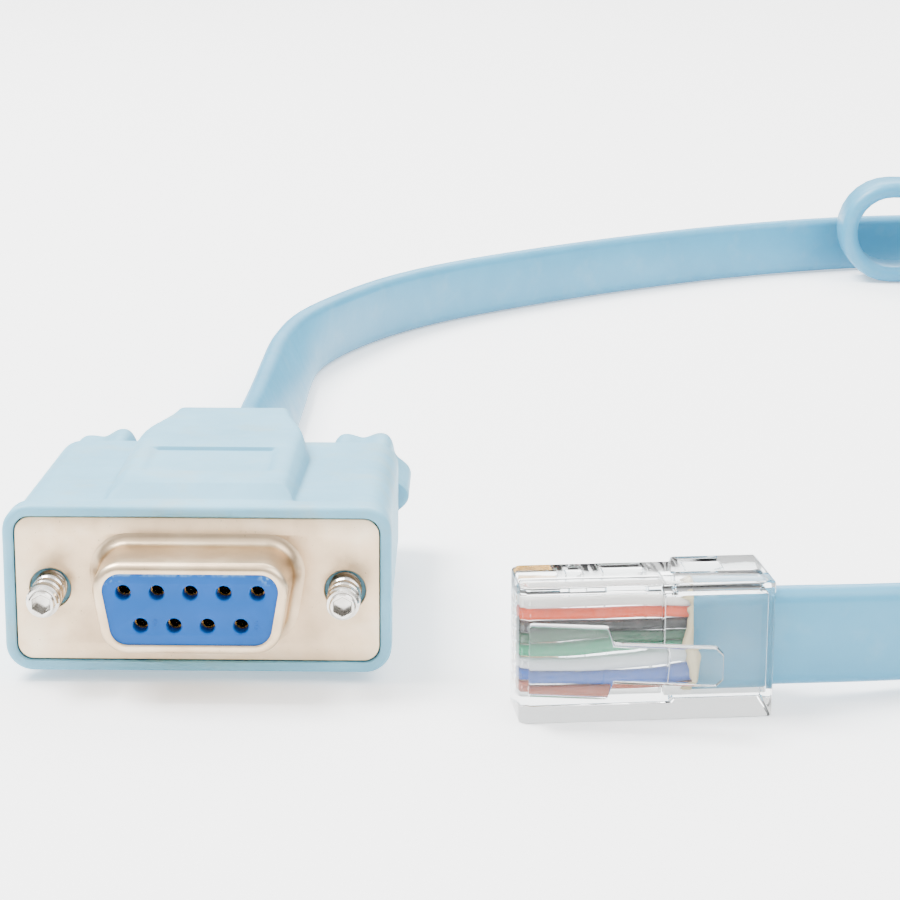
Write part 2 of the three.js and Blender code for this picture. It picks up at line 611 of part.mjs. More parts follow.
addPiece(connector, 'hood', surface(hoodSolid()), MATERIALS.hood);
addPiece(connector, 'dsub_shell', surface(shellSolid()), MATERIALS.nickel);
addPiece(connector, 'insulator', surface(insulatorSolid()), MATERIALS.insulator);
contactPlaces().forEach(([x, z], index) => {
  addPiece(connector, `socket_contact_${index + 1}`, contactGeometry(x, z), MATERIALS.gold);
});
for (const [side, name, lobeAt] of [[-1, 'left', KNOB_LOBE_LEFT], [1, 'right', KNOB_LOBE_RIGHT]]) {
  const x = (side * SCREW_SPACING) / 2;
  addPiece(connector, `jackscrew_${name}`, surface(jackscrewSolid(x)), MATERIALS.steel);
  addPiece(connector, `thumb_knob_${name}`, surface(knobSolid(x, lobeAt)), MATERIALS.hood);
}

const plug = new THREE.Group();
plug.position.copy(PLUG_PLACE);
plug.rotation.z = PLUG_TURN;
cable.add(plug);
addPiece(plug, 'plug_body', surface(plugBodySolid()), MATERIALS.clear);
for (let index = 0; index < WIRE_COUNT; index += 1) {
  addPiece(plug, `plug_blade_${index + 1}`, bladeGeometry(index), MATERIALS.gold);
  const wire = addPiece(plug, `plug_wire_${index + 1}`, wireGeometry(index), MATERIALS.hood);
  wire.material.color.set(WIRE_COLOURS[index]);
}
const jacketEnd = block(
  [PLUG_LENGTH - JACKET_IN_PLUG, WIRE_DEPTH - CORD_THICK / 2, (PLUG_WIDTH - CORD_WIDTH) / 2],
  [PLUG_LENGTH, WIRE_DEPTH + CORD_THICK / 2, (PLUG_WIDTH + CORD_WIDTH) / 2],
);
addPiece(plug, 'plug_jacket_end', jacketEnd, MATERIALS.cord);
const latch = addPiece(plug, 'plug_latch', latchGeometry(), MATERIALS.clear);
latch.rotation.z = -LATCH_RISE;
latch.position.set(LATCH_ROOT, -FACE_GAP, PLUG_WIDTH / 2);

addPiece(cable, 'cord_far', cordGeometry(CORD_FAR_POINTS, CORD_STEPS_FAR), MATERIALS.cord);
addPiece(cable, 'cord_near', cordGeometry(CORD_NEAR_POINTS, CORD_STEPS_NEAR), MATERIALS.cord);
addPiece(cable, 'cord_hank', surface(hankSolid()), MATERIALS.cord);
addPiece(cable, 'hank_tie', surface(tieSolid()), MATERIALS.tie);

export default cable;
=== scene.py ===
"""Console adapter cable on a white studio table: soft vinyl hood, flat lead and clear modular plug.

Each sub-assembly is a class whose fields are its sizes in millimetres; its methods build its
pieces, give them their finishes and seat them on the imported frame.
"""

import logging
import math
from dataclasses import dataclass, field
from enum import Enum
from typing import Callable, Sequence

import bmesh
import bpy
import numpy as np
from mathutils import Matrix, Vector


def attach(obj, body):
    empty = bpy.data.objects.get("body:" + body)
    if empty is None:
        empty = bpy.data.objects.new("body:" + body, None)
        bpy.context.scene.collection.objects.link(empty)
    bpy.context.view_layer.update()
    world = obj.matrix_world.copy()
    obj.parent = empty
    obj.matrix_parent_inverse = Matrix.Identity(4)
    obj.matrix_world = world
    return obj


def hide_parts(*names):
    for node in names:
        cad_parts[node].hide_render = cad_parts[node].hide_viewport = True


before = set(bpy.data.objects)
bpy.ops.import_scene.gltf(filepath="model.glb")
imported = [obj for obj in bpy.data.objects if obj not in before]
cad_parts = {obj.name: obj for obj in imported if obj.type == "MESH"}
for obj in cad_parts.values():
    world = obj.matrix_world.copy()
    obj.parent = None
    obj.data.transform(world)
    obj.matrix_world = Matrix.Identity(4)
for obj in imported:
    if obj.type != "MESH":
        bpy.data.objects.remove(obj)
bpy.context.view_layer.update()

LOG = logging.getLogger("cable")
MM = 0.001
PLATE_Y = -18.2  # front face of the connector's plate, mm
AXIS_Z = 8.25  # height of the connector's middle, mm
FALLOFF = 0.55  # how much each finer octave of a noise counts
NOISE = "ShaderNodeTexNoise"
RAMP = "ShaderNodeValToRGB"
RANGE = "ShaderNodeMapRange"
MIX = "ShaderNodeMix"
MATH = "ShaderNodeMath"
BUMP = "ShaderNodeBump"
Ring = list[Vector]
Tree = bpy.types.NodeTree
Node = bpy.types.Node
Socket = bpy.types.NodeSocket
Piece = bpy.types.Object
Mesh = bpy.types.Mesh


class Body(Enum):
    """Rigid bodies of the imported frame."""

    CABLE = "cable"
    LEFT_SCREW = "left_screw"
    RIGHT_SCREW = "right_screw"
    LATCH = "latch"


class Side(Enum):
    """The two sides of the connector, as the sign of x."""

    LEFT = -1
    RIGHT = 1


# Colours and nodes


def linear(colour: str) -> tuple[float, float, float, float]:
    """Turn a hex sRGB colour into the linear colour that the shader uses.

    Args:
        colour: Six hex digits after a hash sign.

    Returns:
        Linear red, green, blue and an alpha of one.
    """
    parts = [int(colour[i : i + 2], 16) / 255 for i in (1, 3, 5)]
    return (*[p / 12.92 if p <= 0.04045 else ((p + 0.055) / 1.055) ** 2.4 for p in parts], 1.0)


def set_node(tree: Tree, node: Node, **settings: object) -> Node:
    """Set a node's properties and its inputs by name.

    Args:
        tree: Node tree that holds the node.
        node: The node.
        **settings: Property names, or input names in lower case with underscores, and their
            values. A socket as the value is linked, and so is a node's first live output. The
            setting stops gives a colour ramp its places and hex colours, in order.

    Returns:
        The same node.
    """
    for name, value in settings.items():
        sockets = [s for s in node.inputs if name in (s.identifier.lower(), s.name.lower().replace(" ", "_"))]
        if isinstance(value, Node):
            value = next(s for s in value.outputs if s.enabled)
        if name == "stops":
            bar = node.color_ramp.elements
            while len(bar) < len(value):
                bar.new(0.5)
            for element, (at, colour) in zip(bar, value, strict=True):
                element.position = at
                element.color = linear(colour)
        elif not sockets:
            setattr(node, name, value)
        elif isinstance(value, Socket):
            tree.links.new(value, sockets[0])
        else:
            sockets[0].default_value = value
    return node


def add_node(tree: Tree, kind: str, **settings: object) -> Node:
    """Add a node with its settings and links.

    Args:
        tree: Node tree that takes the node.
        kind: Blender's identifier of the node type.
        **settings: As set_node takes them.

    Returns:
        The new node.
    """
    return set_node(tree, tree.nodes.new(kind), **settings)


def grains(size_mm: float) -> float:
    """Scale of a noise on coordinates in metres whose grains are about the given size."""
    return 1.0 / (size_mm * MM)


@dataclass(frozen=True)
class Finish:
    """A material with a principled shader, named for what the real surface is."""

    name: str
    colour: str

    def material(self) -> bpy.types.Material:
        """Build the material once and return it.

        Returns:
            The finished material.
        """
        made = bpy.data.materials.get(self.name)
        if made:
            return made
        made = bpy.data.materials.new(self.name)
        made.use_nodes = True
        tree = made.node_tree
        tree.nodes.clear()
        shader = add_node(tree, "ShaderNodeBsdfPrincipled")
        out = add_node(tree, "ShaderNodeOutputMaterial", surface=shader.outputs["BSDF"])
        out.is_active_output = True
        place = add_node(tree, "ShaderNodeTexCoord").outputs["Object"]
        self.paint(tree, shader, place)
        made.diffuse_color = linear(self.colour)
        return made

    def paint(self, tree: Tree, shader: Node, place: Socket) -> None:
        """Set up the shader.

        Args:
            tree: The material's tree.
            shader: Its principled shader.
            place: Object coordinates in metres.
        """
        raise NotImplementedError


@dataclass(frozen=True)
class SoftVinyl(Finish):
    """Flexible vinyl moulding: even pale blue that takes light softly, with handling grime in blotches."""

    shade: str = "#9fc6d4"
    grime: str = "#a39c88"
    gloss: float = 0.46
    grime_share: float = 0.34
    speck_share: float = 0.5

    def paint(self, tree: Tree, shader: Node, place: Socket) -> None:
        """Pale blotched vinyl with a fine moulded grain.

        Args:
            tree: The material's tree.
            shader: Its principled shader.
            place: Object coordinates in metres.
        """
        broad = add_node(tree, NOISE, vector=place, scale=grains(9.0), detail=4.0, roughness=FALLOFF)
        tone = add_node(tree, RAMP, fac=broad, stops=[(0.3, self.shade), (0.7, self.colour)])
        blotches = add_node(tree, NOISE, vector=place, scale=grains(4.2), detail=8.0, roughness=FALLOFF)
        patch = add_node(tree, RANGE, value=blotches, from_min=0.52, from_max=0.78, to_max=self.grime_share)
        soiled = add_node(tree, MIX, data_type="RGBA", factor_float=patch, a_color=tone, b_color=linear(self.grime))
        dots = add_node(tree, NOISE, vector=place, scale=grains(0.35), detail=2.0, roughness=FALLOFF)
        specks = add_node(tree, RANGE, value=dots, from_min=0.73, from_max=0.8, to_max=self.speck_share)
        dark = linear("#8c8f86")
        spotted = add_node(tree, MIX, data_type="RGBA", factor_float=specks, a_color=soiled, b_color=dark)
        wear = add_node(tree, NOISE, vector=place, scale=grains(1.6), detail=5.0, roughness=FALLOFF)
        sheen = add_node(tree, RANGE, value=wear, to_min=self.gloss - 0.08, to_max=self.gloss + 0.12)
        skin = add_node(tree, NOISE, vector=place, scale=grains(0.5), detail=4.0, roughness=FALLOFF)
        bumps = add_node(tree, BUMP, height=skin, distance=0.012 * MM, strength=1.0)
        set_node(
            tree, shader, base_color=spotted, roughness=sheen, normal=bumps, subsurface_weight=0.12,
            subsurface_radius=(0.9, 1.1, 1.2), subsurface_scale=0.0012, ior=1.5,
        )


@dataclass(frozen=True)
class NickelPlate(Finish):
    """Tin-nickel plate on pressed steel: warm grey metal, matt on the flat, with tiny pits and a light haze."""

    rough: float = 0.34

    def paint(self, tree: Tree, shader: Node, place: Socket) -> None:
        """Warm satin metal with pits.

        Args:
            tree: The material's tree.
            shader: Its principled shader.
            place: Object coordinates in metres.
        """
        broad = add_node(tree, NOISE, vector=place, scale=grains(6.0), detail=6.0, roughness=FALLOFF)
        tone = add_node(tree, RAMP, fac=broad, stops=[(0.3, "#bfa688"), (0.5, self.colour), (0.72, "#e4d2b8")])
        dots = add_node(tree, NOISE, vector=place, scale=grains(0.22), detail=2.0, roughness=FALLOFF)
        pits = add_node(tree, RANGE, value=dots, from_min=0.70, from_max=0.78, to_max=0.7)
        dark = linear("#5e5245")
        pitted = add_node(tree, MIX, data_type="RGBA", factor_float=pits, a_color=tone, b_color=dark)
        haze = add_node(tree, NOISE, vector=place, scale=grains(2.4), detail=5.0, roughness=FALLOFF)
        satin = add_node(tree, RANGE, value=haze, to_min=self.rough - 0.07, to_max=self.rough + 0.1)
        skin = add_node(tree, NOISE, vector=place, scale=grains(0.18), detail=3.0, roughness=FALLOFF)
        bumps = add_node(tree, BUMP, height=skin, distance=0.006 * MM, strength=1.0)
        set_node(tree, shader, metallic=1.0, base_color=pitted, roughness=satin, normal=bumps)


@dataclass(frozen=True)
class BrightSteel(Finish):
    """Bright nickel on turned steel: cool mirror metal with faint turning haze."""

    rough: float = 0.16

    def paint(self, tree: Tree, shader: Node, place: Socket) -> None:
        """Bright metal.

        Args:
            tree: The material's tree.
            shader: Its principled shader.
            place: Object coordinates in metres.
        """
        cloud = add_node(tree, NOISE, vector=place, scale=grains(1.2), detail=4.0, roughness=FALLOFF)
        tone = add_node(tree, RAMP, fac=cloud, stops=[(0.3, "#bdb8b0"), (0.65, self.colour)])
        haze = add_node(tree, NOISE, vector=place, scale=grains(0.7), detail=3.0, roughness=FALLOFF)
        shine = add_node(tree, RANGE, value=haze, to_min=self.rough - 0.05, to_max=self.rough + 0.1)
        set_node(tree, shader, metallic=1.0, base_color=tone, roughness=shine)


@dataclass(frozen=True)
class GlassFilledNylon(Finish):
    """Glass-filled insulator moulding: saturated blue, satin, scuffed pale where a plug has rubbed it."""

    def paint(self, tree: Tree, shader: Node, place: Socket) -> None:
        """Saturated plastic with pale scuffs at its upper corners.

        Args:
            tree: The material's tree.
            shader: Its principled shader.
            place: Object coordinates in metres.
        """
        cloud = add_node(tree, NOISE, vector=place, scale=grains(5.0), detail=4.0, roughness=FALLOFF)
        tone = add_node(tree, RAMP, fac=cloud, stops=[(0.3, "#004c92"), (0.7, self.colour)])
        split = add_node(tree, "ShaderNodeSeparateXYZ", vector=place)
        height = split.outputs["Z"]
        side = add_node(tree, MATH, operation="ABSOLUTE", value=split.outputs["X"])
        outer = add_node(tree, RANGE, value=side, from_min=5.4 * MM, from_max=7.0 * MM)
        upper = add_node(tree, RANGE, value=height, from_min=(AXIS_Z + 2.0) * MM, from_max=(AXIS_Z + 3.0) * MM)
        corner = add_node(tree, MATH, operation="MULTIPLY", value=outer, value_001=upper)
        rough = add_node(tree, NOISE, vector=place, scale=grains(0.5), detail=6.0, roughness=FALLOFF)
        chips = add_node(tree, RANGE, value=rough, from_min=0.5, from_max=0.58)
        scuff = add_node(tree, MATH, operation="MULTIPLY", value=corner, value_001=chips)
        lip = (AXIS_Z + 2.75) * MM
        edge = add_node(tree, RANGE, value=height, from_min=lip, from_max=(AXIS_Z + 3.05) * MM, to_max=0.55)
        streaks = add_node(tree, NOISE, vector=place, scale=grains(0.9), detail=5.0, roughness=FALLOFF)
        worn = add_node(tree, RANGE, value=streaks, from_min=0.45, from_max=0.6)
        rub = add_node(tree, MATH, operation="MULTIPLY", value=edge, value_001=worn)
        both = add_node(tree, MATH, operation="MAXIMUM", value=scuff, value_001=rub)
        pale = linear("#7fb9dd")
        scuffed = add_node(tree, MIX, data_type="RGBA", factor_float=both, a_color=tone, b_color=pale)
        skin = add_node(tree, NOISE, vector=place, scale=grains(0.25), detail=4.0, roughness=FALLOFF)
        bumps = add_node(tree, BUMP, height=skin, distance=0.006 * MM, strength=1.0)
        set_node(tree, shader, base_color=scuffed, roughness=0.42, specular_ior_level=0.2, normal=bumps)


@dataclass(frozen=True)
class GoldFlash(Finish):
    """Thin gold over copper alloy contacts: warm bright metal with a dull patch here and there."""

    def paint(self, tree: Tree, shader: Node, place: Socket) -> None:
        """Gold metal.

        Args:
            tree: The material's tree.
            shader: Its principled shader.
            place: Object coordinates in metres.
        """
        cloud = add_node(tree, NOISE, vector=place, scale=grains(0.8), detail=3.0, roughness=FALLOFF)
        tone = add_node(tree, RAMP, fac=cloud, stops=[(0.3, "#a97a3a"), (0.65, self.colour)])
        haze = add_node(tree, NOISE, vector=place, scale=grains(0.5), detail=2.0, roughness=FALLOFF)
        shine = add_node(tree, RANGE, value=haze, to_min=0.18, to_max=0.34)
        set_node(tree, shader, metallic=1.0, base_color=tone, roughness=shine)


@dataclass(frozen=True)
class ClearPolycarbonate(Finish):
    """Clear polycarbonate moulding: colourless and glossy, refracting gently, with faint flow ripples."""

    def paint(self, tree: Tree, shader: Node, place: Socket) -> None:
        """Clear refracting plastic.

        Args:
            tree: The material's tree.
            shader: Its principled shader.
            place: Object coordinates in metres.
        """
        haze = add_node(tree, NOISE, vector=place, scale=grains(1.5), detail=4.0, roughness=FALLOFF)
        gloss = add_node(tree, RANGE, value=haze, to_min=0.0, to_max=0.07)
        flow = add_node(tree, NOISE, vector=place, scale=grains(1.8), detail=3.0, roughness=FALLOFF)
        ripples = add_node(tree, BUMP, height=flow, distance=0.02 * MM, strength=0.5)
        set_node(
            tree, shader, base_color=linear(self.colour), transmission_weight=1.0, ior=1.3, roughness=gloss,
            normal=ripples,
        )


@dataclass(frozen=True)
class WireInsulation(Finish):
    """Solid-colour wire insulation: even plastic with a slight sheen and rub marks."""

    def paint(self, tree: Tree, shader: Node, place: Socket) -> None:
        """Coloured plastic.

        Args:
            tree: The material's tree.
            shader: Its principled shader.
            place: Object coordinates in metres.
        """
        marks = add_node(tree, NOISE, vector=place, scale=grains(0.7), detail=4.0, roughness=FALLOFF)
        rub = add_node(tree, RANGE, value=marks, from_min=0.5, from_max=0.75, to_max=0.06)
        own, pale = linear(self.colour), linear("#e9e4dc")
        rubbed = add_node(tree, MIX, data_type="RGBA", factor_float=rub, a_color=own, b_color=pale)
        skin = add_node(tree, NOISE, vector=place, scale=grains(0.4), detail=3.0, roughness=FALLOFF)
        bumps = add_node(tree, BUMP, height=skin, distance=0.01 * MM, strength=1.0)
        set_node(tree, shader, base_color=rubbed, roughness=0.38, normal=bumps)


@dataclass(frozen=True)
class MattTable(Finish):
    """Plain white studio table, evenly matt."""

    def paint(self, tree: Tree, shader: Node, place: Socket) -> None:
        """Even matt white.

        Args:
            tree: The material's tree.
            shader: Its principled shader.
            place: Object coordinates in metres.
        """
        set_node(
            tree, shader, base_color=linear(self.colour), roughness=0.9, specular_ior_level=0.1,
            emission_color=(1.0, 1.0, 1.0, 1.0), emission_strength=0.6,
        )


HOOD_VINYL = SoftVinyl("soft_vinyl_hood", "#74b4cd", shade="#62a2bb")
LEAD_VINYL = SoftVinyl(
    "smooth_vinyl_lead", "#4596b8", shade="#3c8cae", grime="#c3d2d2", gloss=0.36, grime_share=0.08, speck_share=0.12
)
NICKEL = NickelPlate("nickel_plated_steel", "#d6bd9c")
STEEL = BrightSteel("bright_turned_steel", "#dedbd5")
NYLON = GlassFilledNylon("glass_filled_blue_nylon", "#0052a0")
GOLD = GoldFlash("gold_flashed_contact", "#d8a757")
CLEAR = ClearPolycarbonate("clear_polycarbonate", "#fbfdfd")
TIE = WireInsulation("black_vinyl_tie", "#1d1d1e")
TORN = WireInsulation("torn_jacket_edge", "#dccba2")
WIRE_FINISHES = [
    WireInsulation(f"wire_insulation_{name}", colour)
    for name, colour in (
        ("brown", "#b4604a"), ("blue", "#0f56b4"), ("grey", "#dfe3e8"), ("teal", "#0f9468"),
        ("green", "#0c5030"), ("black", "#101010"), ("orange", "#ee4c08"), ("white", "#f6f1ec"),
    )
]


# Mesh helpers


def mesh_object(
    name: str, points: Sequence[Sequence[float]], faces: Sequence[Sequence[int]], finish: Finish, smooth: bool = True
) -> Piece:
    """Make an object from points in millimetres of the part frame.

    Args:
        name: Name of the piece.
        points: Corners in millimetres.
        faces: Corner numbers of each face.
        finish: Its finish.
        smooth: Whether the faces are shaded smooth.

    Returns:
        The new object, at the origin.
    """
    mesh = bpy.data.meshes.new(name)
    mesh.from_pydata([tuple(c * MM for c in p) for p in points], [], [tuple(f) for f in faces])
    mesh.validate()
    piece = bpy.data.objects.new(name, mesh)
    bpy.context.scene.collection.objects.link(piece)
    mesh.materials.append(finish.material())
    tidy_normals(mesh)
    for face in mesh.polygons:
        face.use_smooth = smooth
    return piece


def tidy_normals(mesh: Mesh) -> None:
    """Merge doubled corners and turn all faces outwards.

    Args:
        mesh: Mesh to tidy in place.
    """
    work = bmesh.new()
    work.from_mesh(mesh)
    bmesh.ops.remove_doubles(work, verts=work.verts, dist=1e-7)
    bmesh.ops.recalc_face_normals(work, faces=work.faces)
    work.to_mesh(mesh)
    work.free()


def loft(rings: Sequence[Sequence[Sequence[float]]], closed: bool = False) -> tuple[list, list]:
    """Join rings of equally many points by quads, capping both ends unless the loft closes on itself.

    Args:
        rings: Rings of points.
        closed: Whether the last ring joins the first.

    Returns:
        Points and faces.
    """
    count = len(rings[0])
    points = [tuple(p) for ring in rings for p in ring]
    faces = []
    last = len(rings) if closed else len(rings) - 1
    for i in range(last):
        a, b = i * count, ((i + 1) % len(rings)) * count
        faces += [(a + k, a + (k + 1) % count, b + (k + 1) % count, b + k) for k in range(count)]
    if not closed:
        faces.append(tuple(range(count - 1, -1, -1)))
        faces.append(tuple(range(len(points) - count, len(points))))
    return points, faces


def rounded(corners: Sequence[tuple[float, float]], radius: float, divisions: int = 10) -> list[tuple[float, float]]:
    """Closed outline with each corner rounded by an arc.

    Args:
        corners: Corner points in order.
        radius: Radius of the arcs.
        divisions: Steps in each arc.

    Returns:
        Points of the outline.
    """
    points: list[tuple[float, float]] = []
    count = len(corners)
    for i, corner in enumerate(corners):
        here = Vector(corner)
        back = (Vector(corners[i - 1]) - here).normalized()
        on = (Vector(corners[(i + 1) % count]) - here).normalized()
        half = math.acos(max(-1.0, min(1.0, back.dot(on)))) / 2
        centre = here + (back + on).normalized() * (radius / math.sin(half))
        first = here + back * (radius / math.tan(half)) - centre
        final = here + on * (radius / math.tan(half)) - centre
        start = math.atan2(first.y, first.x)
        sweep = math.atan2(final.y, final.x) - start
        sweep -= 2 * math.pi * round(sweep / (2 * math.pi))
        for step in range(divisions + 1):
            angle = start + sweep * step / divisions
            points.append((centre.x + radius * math.cos(angle), centre.y + radius * math.sin(angle)))
    return points


def rectangle(width: float, height: float, radius: float, divisions: int = 10) -> list[tuple[float, float]]:
    """Rounded rectangle about the origin.

    Args:
        width: Full width.
        height: Full height.
        radius: Corner radius.
        divisions: Steps in each corner.

    Returns:
        Points of the outline.
    """
    x, y = width / 2, height / 2
    return rounded([(x, y), (-x, y), (-x, -y), (x, -y)], radius, divisions)


def smooth_step(value: float) -> float:
    """Ease from 0 to 1.

    Args:
        value: Any number, held to 0 to 1.

    Returns:
        The eased number.
    """
    t = max(0.0, min(1.0, value))
    return t * t * (3 - 2 * t)


def turned_rings(
    profile: Sequence[tuple[float, float]], x: float, z: float, segments: int = 48
) -> list[list[tuple[float, float, float]]]:
    """Rings of a shape turned about a line along Y.

    Args:
        profile: Radius and distance behind the plate, from one end to the other.
        x: Line's x.
        z: Line's height.
        segments: Points in each ring.

    Returns:
        Rings in the part frame.
    """
    turns = [2 * math.pi * k / segments for k in range(segments)]
    return [
        [(x + r * math.cos(t), PLATE_Y + y, z + r * math.sin(t)) for t in turns] for r, y in profile
    ]


def flat_plate(
    name: str, outline: Sequence[tuple[float, float]], holes: Sequence[Sequence[tuple[float, float]]],
    front: float, back: float, edge: float, finish: Finish, resolution: int = 2,
) -> Piece:
    """Plate with holes, lying in the XZ plane, its edges and its holes' edges rounded.

    Args:
        name: Name of the piece.
        outline: Outer outline, x and height from the connector's axis.
        holes: Outlines of the holes.
        front: Front face, distance behind the plate's face.
        back: Back face.
        edge: Radius of the rounded edges.
        finish: Its finish.
        resolution: Steps in the rounded edges.

    Returns:
        The new object.
    """
    curve = bpy.data.curves.new(name, "CURVE")
    curve.dimensions = "2D"
    curve.fill_mode = "BOTH"
    for loop in (outline, *holes):
        spline = curve.splines.new("POLY")
        spline.points.add(len(loop) - 1)
        for point, (x, y) in zip(spline.points, loop, strict=True):
            point.co = (x * MM, y * MM, 0.0, 1.0)
        spline.use_cyclic_u = True
    curve.extrude = ((back - front) / 2 - edge) * MM
    curve.bevel_depth = edge * MM
    curve.bevel_resolution = resolution
    curve.offset = -edge * MM
    temporary = bpy.data.objects.new(name + "_outline", curve)
    bpy.context.scene.collection.objects.link(temporary)
    bpy.context.view_layer.update()
    mesh = bpy.data.meshes.new_from_object(temporary.evaluated_get(bpy.context.evaluated_depsgraph_get()))
    bpy.data.objects.remove(temporary)
    mesh.name = name
    mesh.transform(Matrix.Rotation(math.pi / 2, 4, "X"))
    mesh.transform(Matrix.Translation((0.0, (PLATE_Y + (front + back) / 2) * MM, AXIS_Z * MM)))
    piece = bpy.data.objects.new(name, mesh)
    bpy.context.scene.collection.objects.link(piece)
    mesh.materials.clear()
    mesh.materials.append(finish.material())
    tidy_normals(mesh)
    mesh.shade_smooth()
    mesh.set_sharp_from_angle(angle=math.radians(40))
    return piece


def seat(piece: Piece, body: Body, slot: str, *nodes: str) -> Piece:
    """Seat a finished piece on its body and let it stand for its CAD nodes.

    Args:
        piece: The piece.
        body: Body it moves with.
        slot: Slot name of its finish; not used.
        *nodes: CAD nodes it stands for.

    Returns:
        The same piece.
    """
    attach(piece, body.value)
    if nodes:
        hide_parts(*nodes)
    LOG.info("piece %s: %d faces", piece.name, len(piece.data.polygons))
    return piece


# Camera, table and light


@dataclass
class Studio:
    """Camera at the photograph's angle, a plain white table and soft lights, all in metres."""

    camera_at: tuple[float, float, float] = (0.02328, -0.2286, 0.0729)
    pitch_down: float = 13.97
    heading: float = 0.54
    roll: float = 0.29
    lens: float = 104.0
    aim: tuple[float, float, float] = (0.05, 0.05, 0.01)
    wall: float = 0.05
    ceiling: float = 2.4

    def build(self) -> None:
        """Set up the camera, the table and the lights."""
        self.camera()
        self.table()
        self.lights()

    def camera(self) -> None:
        """Place the camera."""
        data = bpy.data.cameras.new("photo_camera")
        data.lens = self.lens
        data.sensor_width = 36.0
        data.sensor_fit = "HORIZONTAL"
        data.clip_start = 0.01
        data.clip_end = 50.0
        data.dof.use_dof = False
        view = bpy.data.objects.new("photo_camera", data)
        bpy.context.scene.collection.objects.link(view)
        turn = (
            Matrix.Rotation(math.radians(self.heading), 4, "Z")
            @ Matrix.Rotation(math.radians(90 - self.pitch_down), 4, "X")
            @ Matrix.Rotation(math.radians(self.roll), 4, "Z")
        )
        view.matrix_world = Matrix.Translation(self.camera_at) @ turn
        bpy.context.scene.camera = view

    def table(self) -> None:
        """Lay the white table."""
        half = 3000.0
        corners = [(-half, -half, 0), (half, -half, 0), (half, half, 0), (-half, half, 0)]
        top = mesh_object("table_top", corners, [(0, 1, 2, 3)], MattTable("white_table", "#f4f4f4"), False)

    def lights(self) -> None:
        """Hang three soft lights and a pale sky."""
        world = bpy.data.worlds.new("studio")
        bpy.context.scene.world = world
        world.use_nodes = True
        tree = world.node_tree
        sky = tree.nodes["Background"]
        way = add_node(tree, "ShaderNodeTexCoord").outputs["Generated"]
        height = add_node(tree, "ShaderNodeSeparateXYZ", vector=way).outputs["Z"]
        bright = add_node(
            tree, RANGE, value=height, from_min=0.1, from_max=0.75, to_min=self.wall, to_max=self.ceiling
        )
        set_node(tree, sky, color=(1.0, 1.0, 1.0, 1.0), strength=bright)
        for name, at, size, power in (
            ("key_light", (-0.45, 0.1, 0.9), 0.5, 30.0),
            ("fill_light", (0.7, -0.3, 0.8), 0.7, 7.0),
            ("back_light", (0.1, 0.9, 0.8), 0.9, 14.0),
        ):
            data = bpy.data.lights.new(name, "AREA")
            data.size = size
            data.energy = power
            lamp = bpy.data.objects.new(name, data)
            bpy.context.scene.collection.objects.link(lamp)
            lamp.location = at
            lamp.rotation_euler = (Vector(self.aim) - Vector(at)).to_track_quat("-Z", "Y").to_euler()


# Flat lead


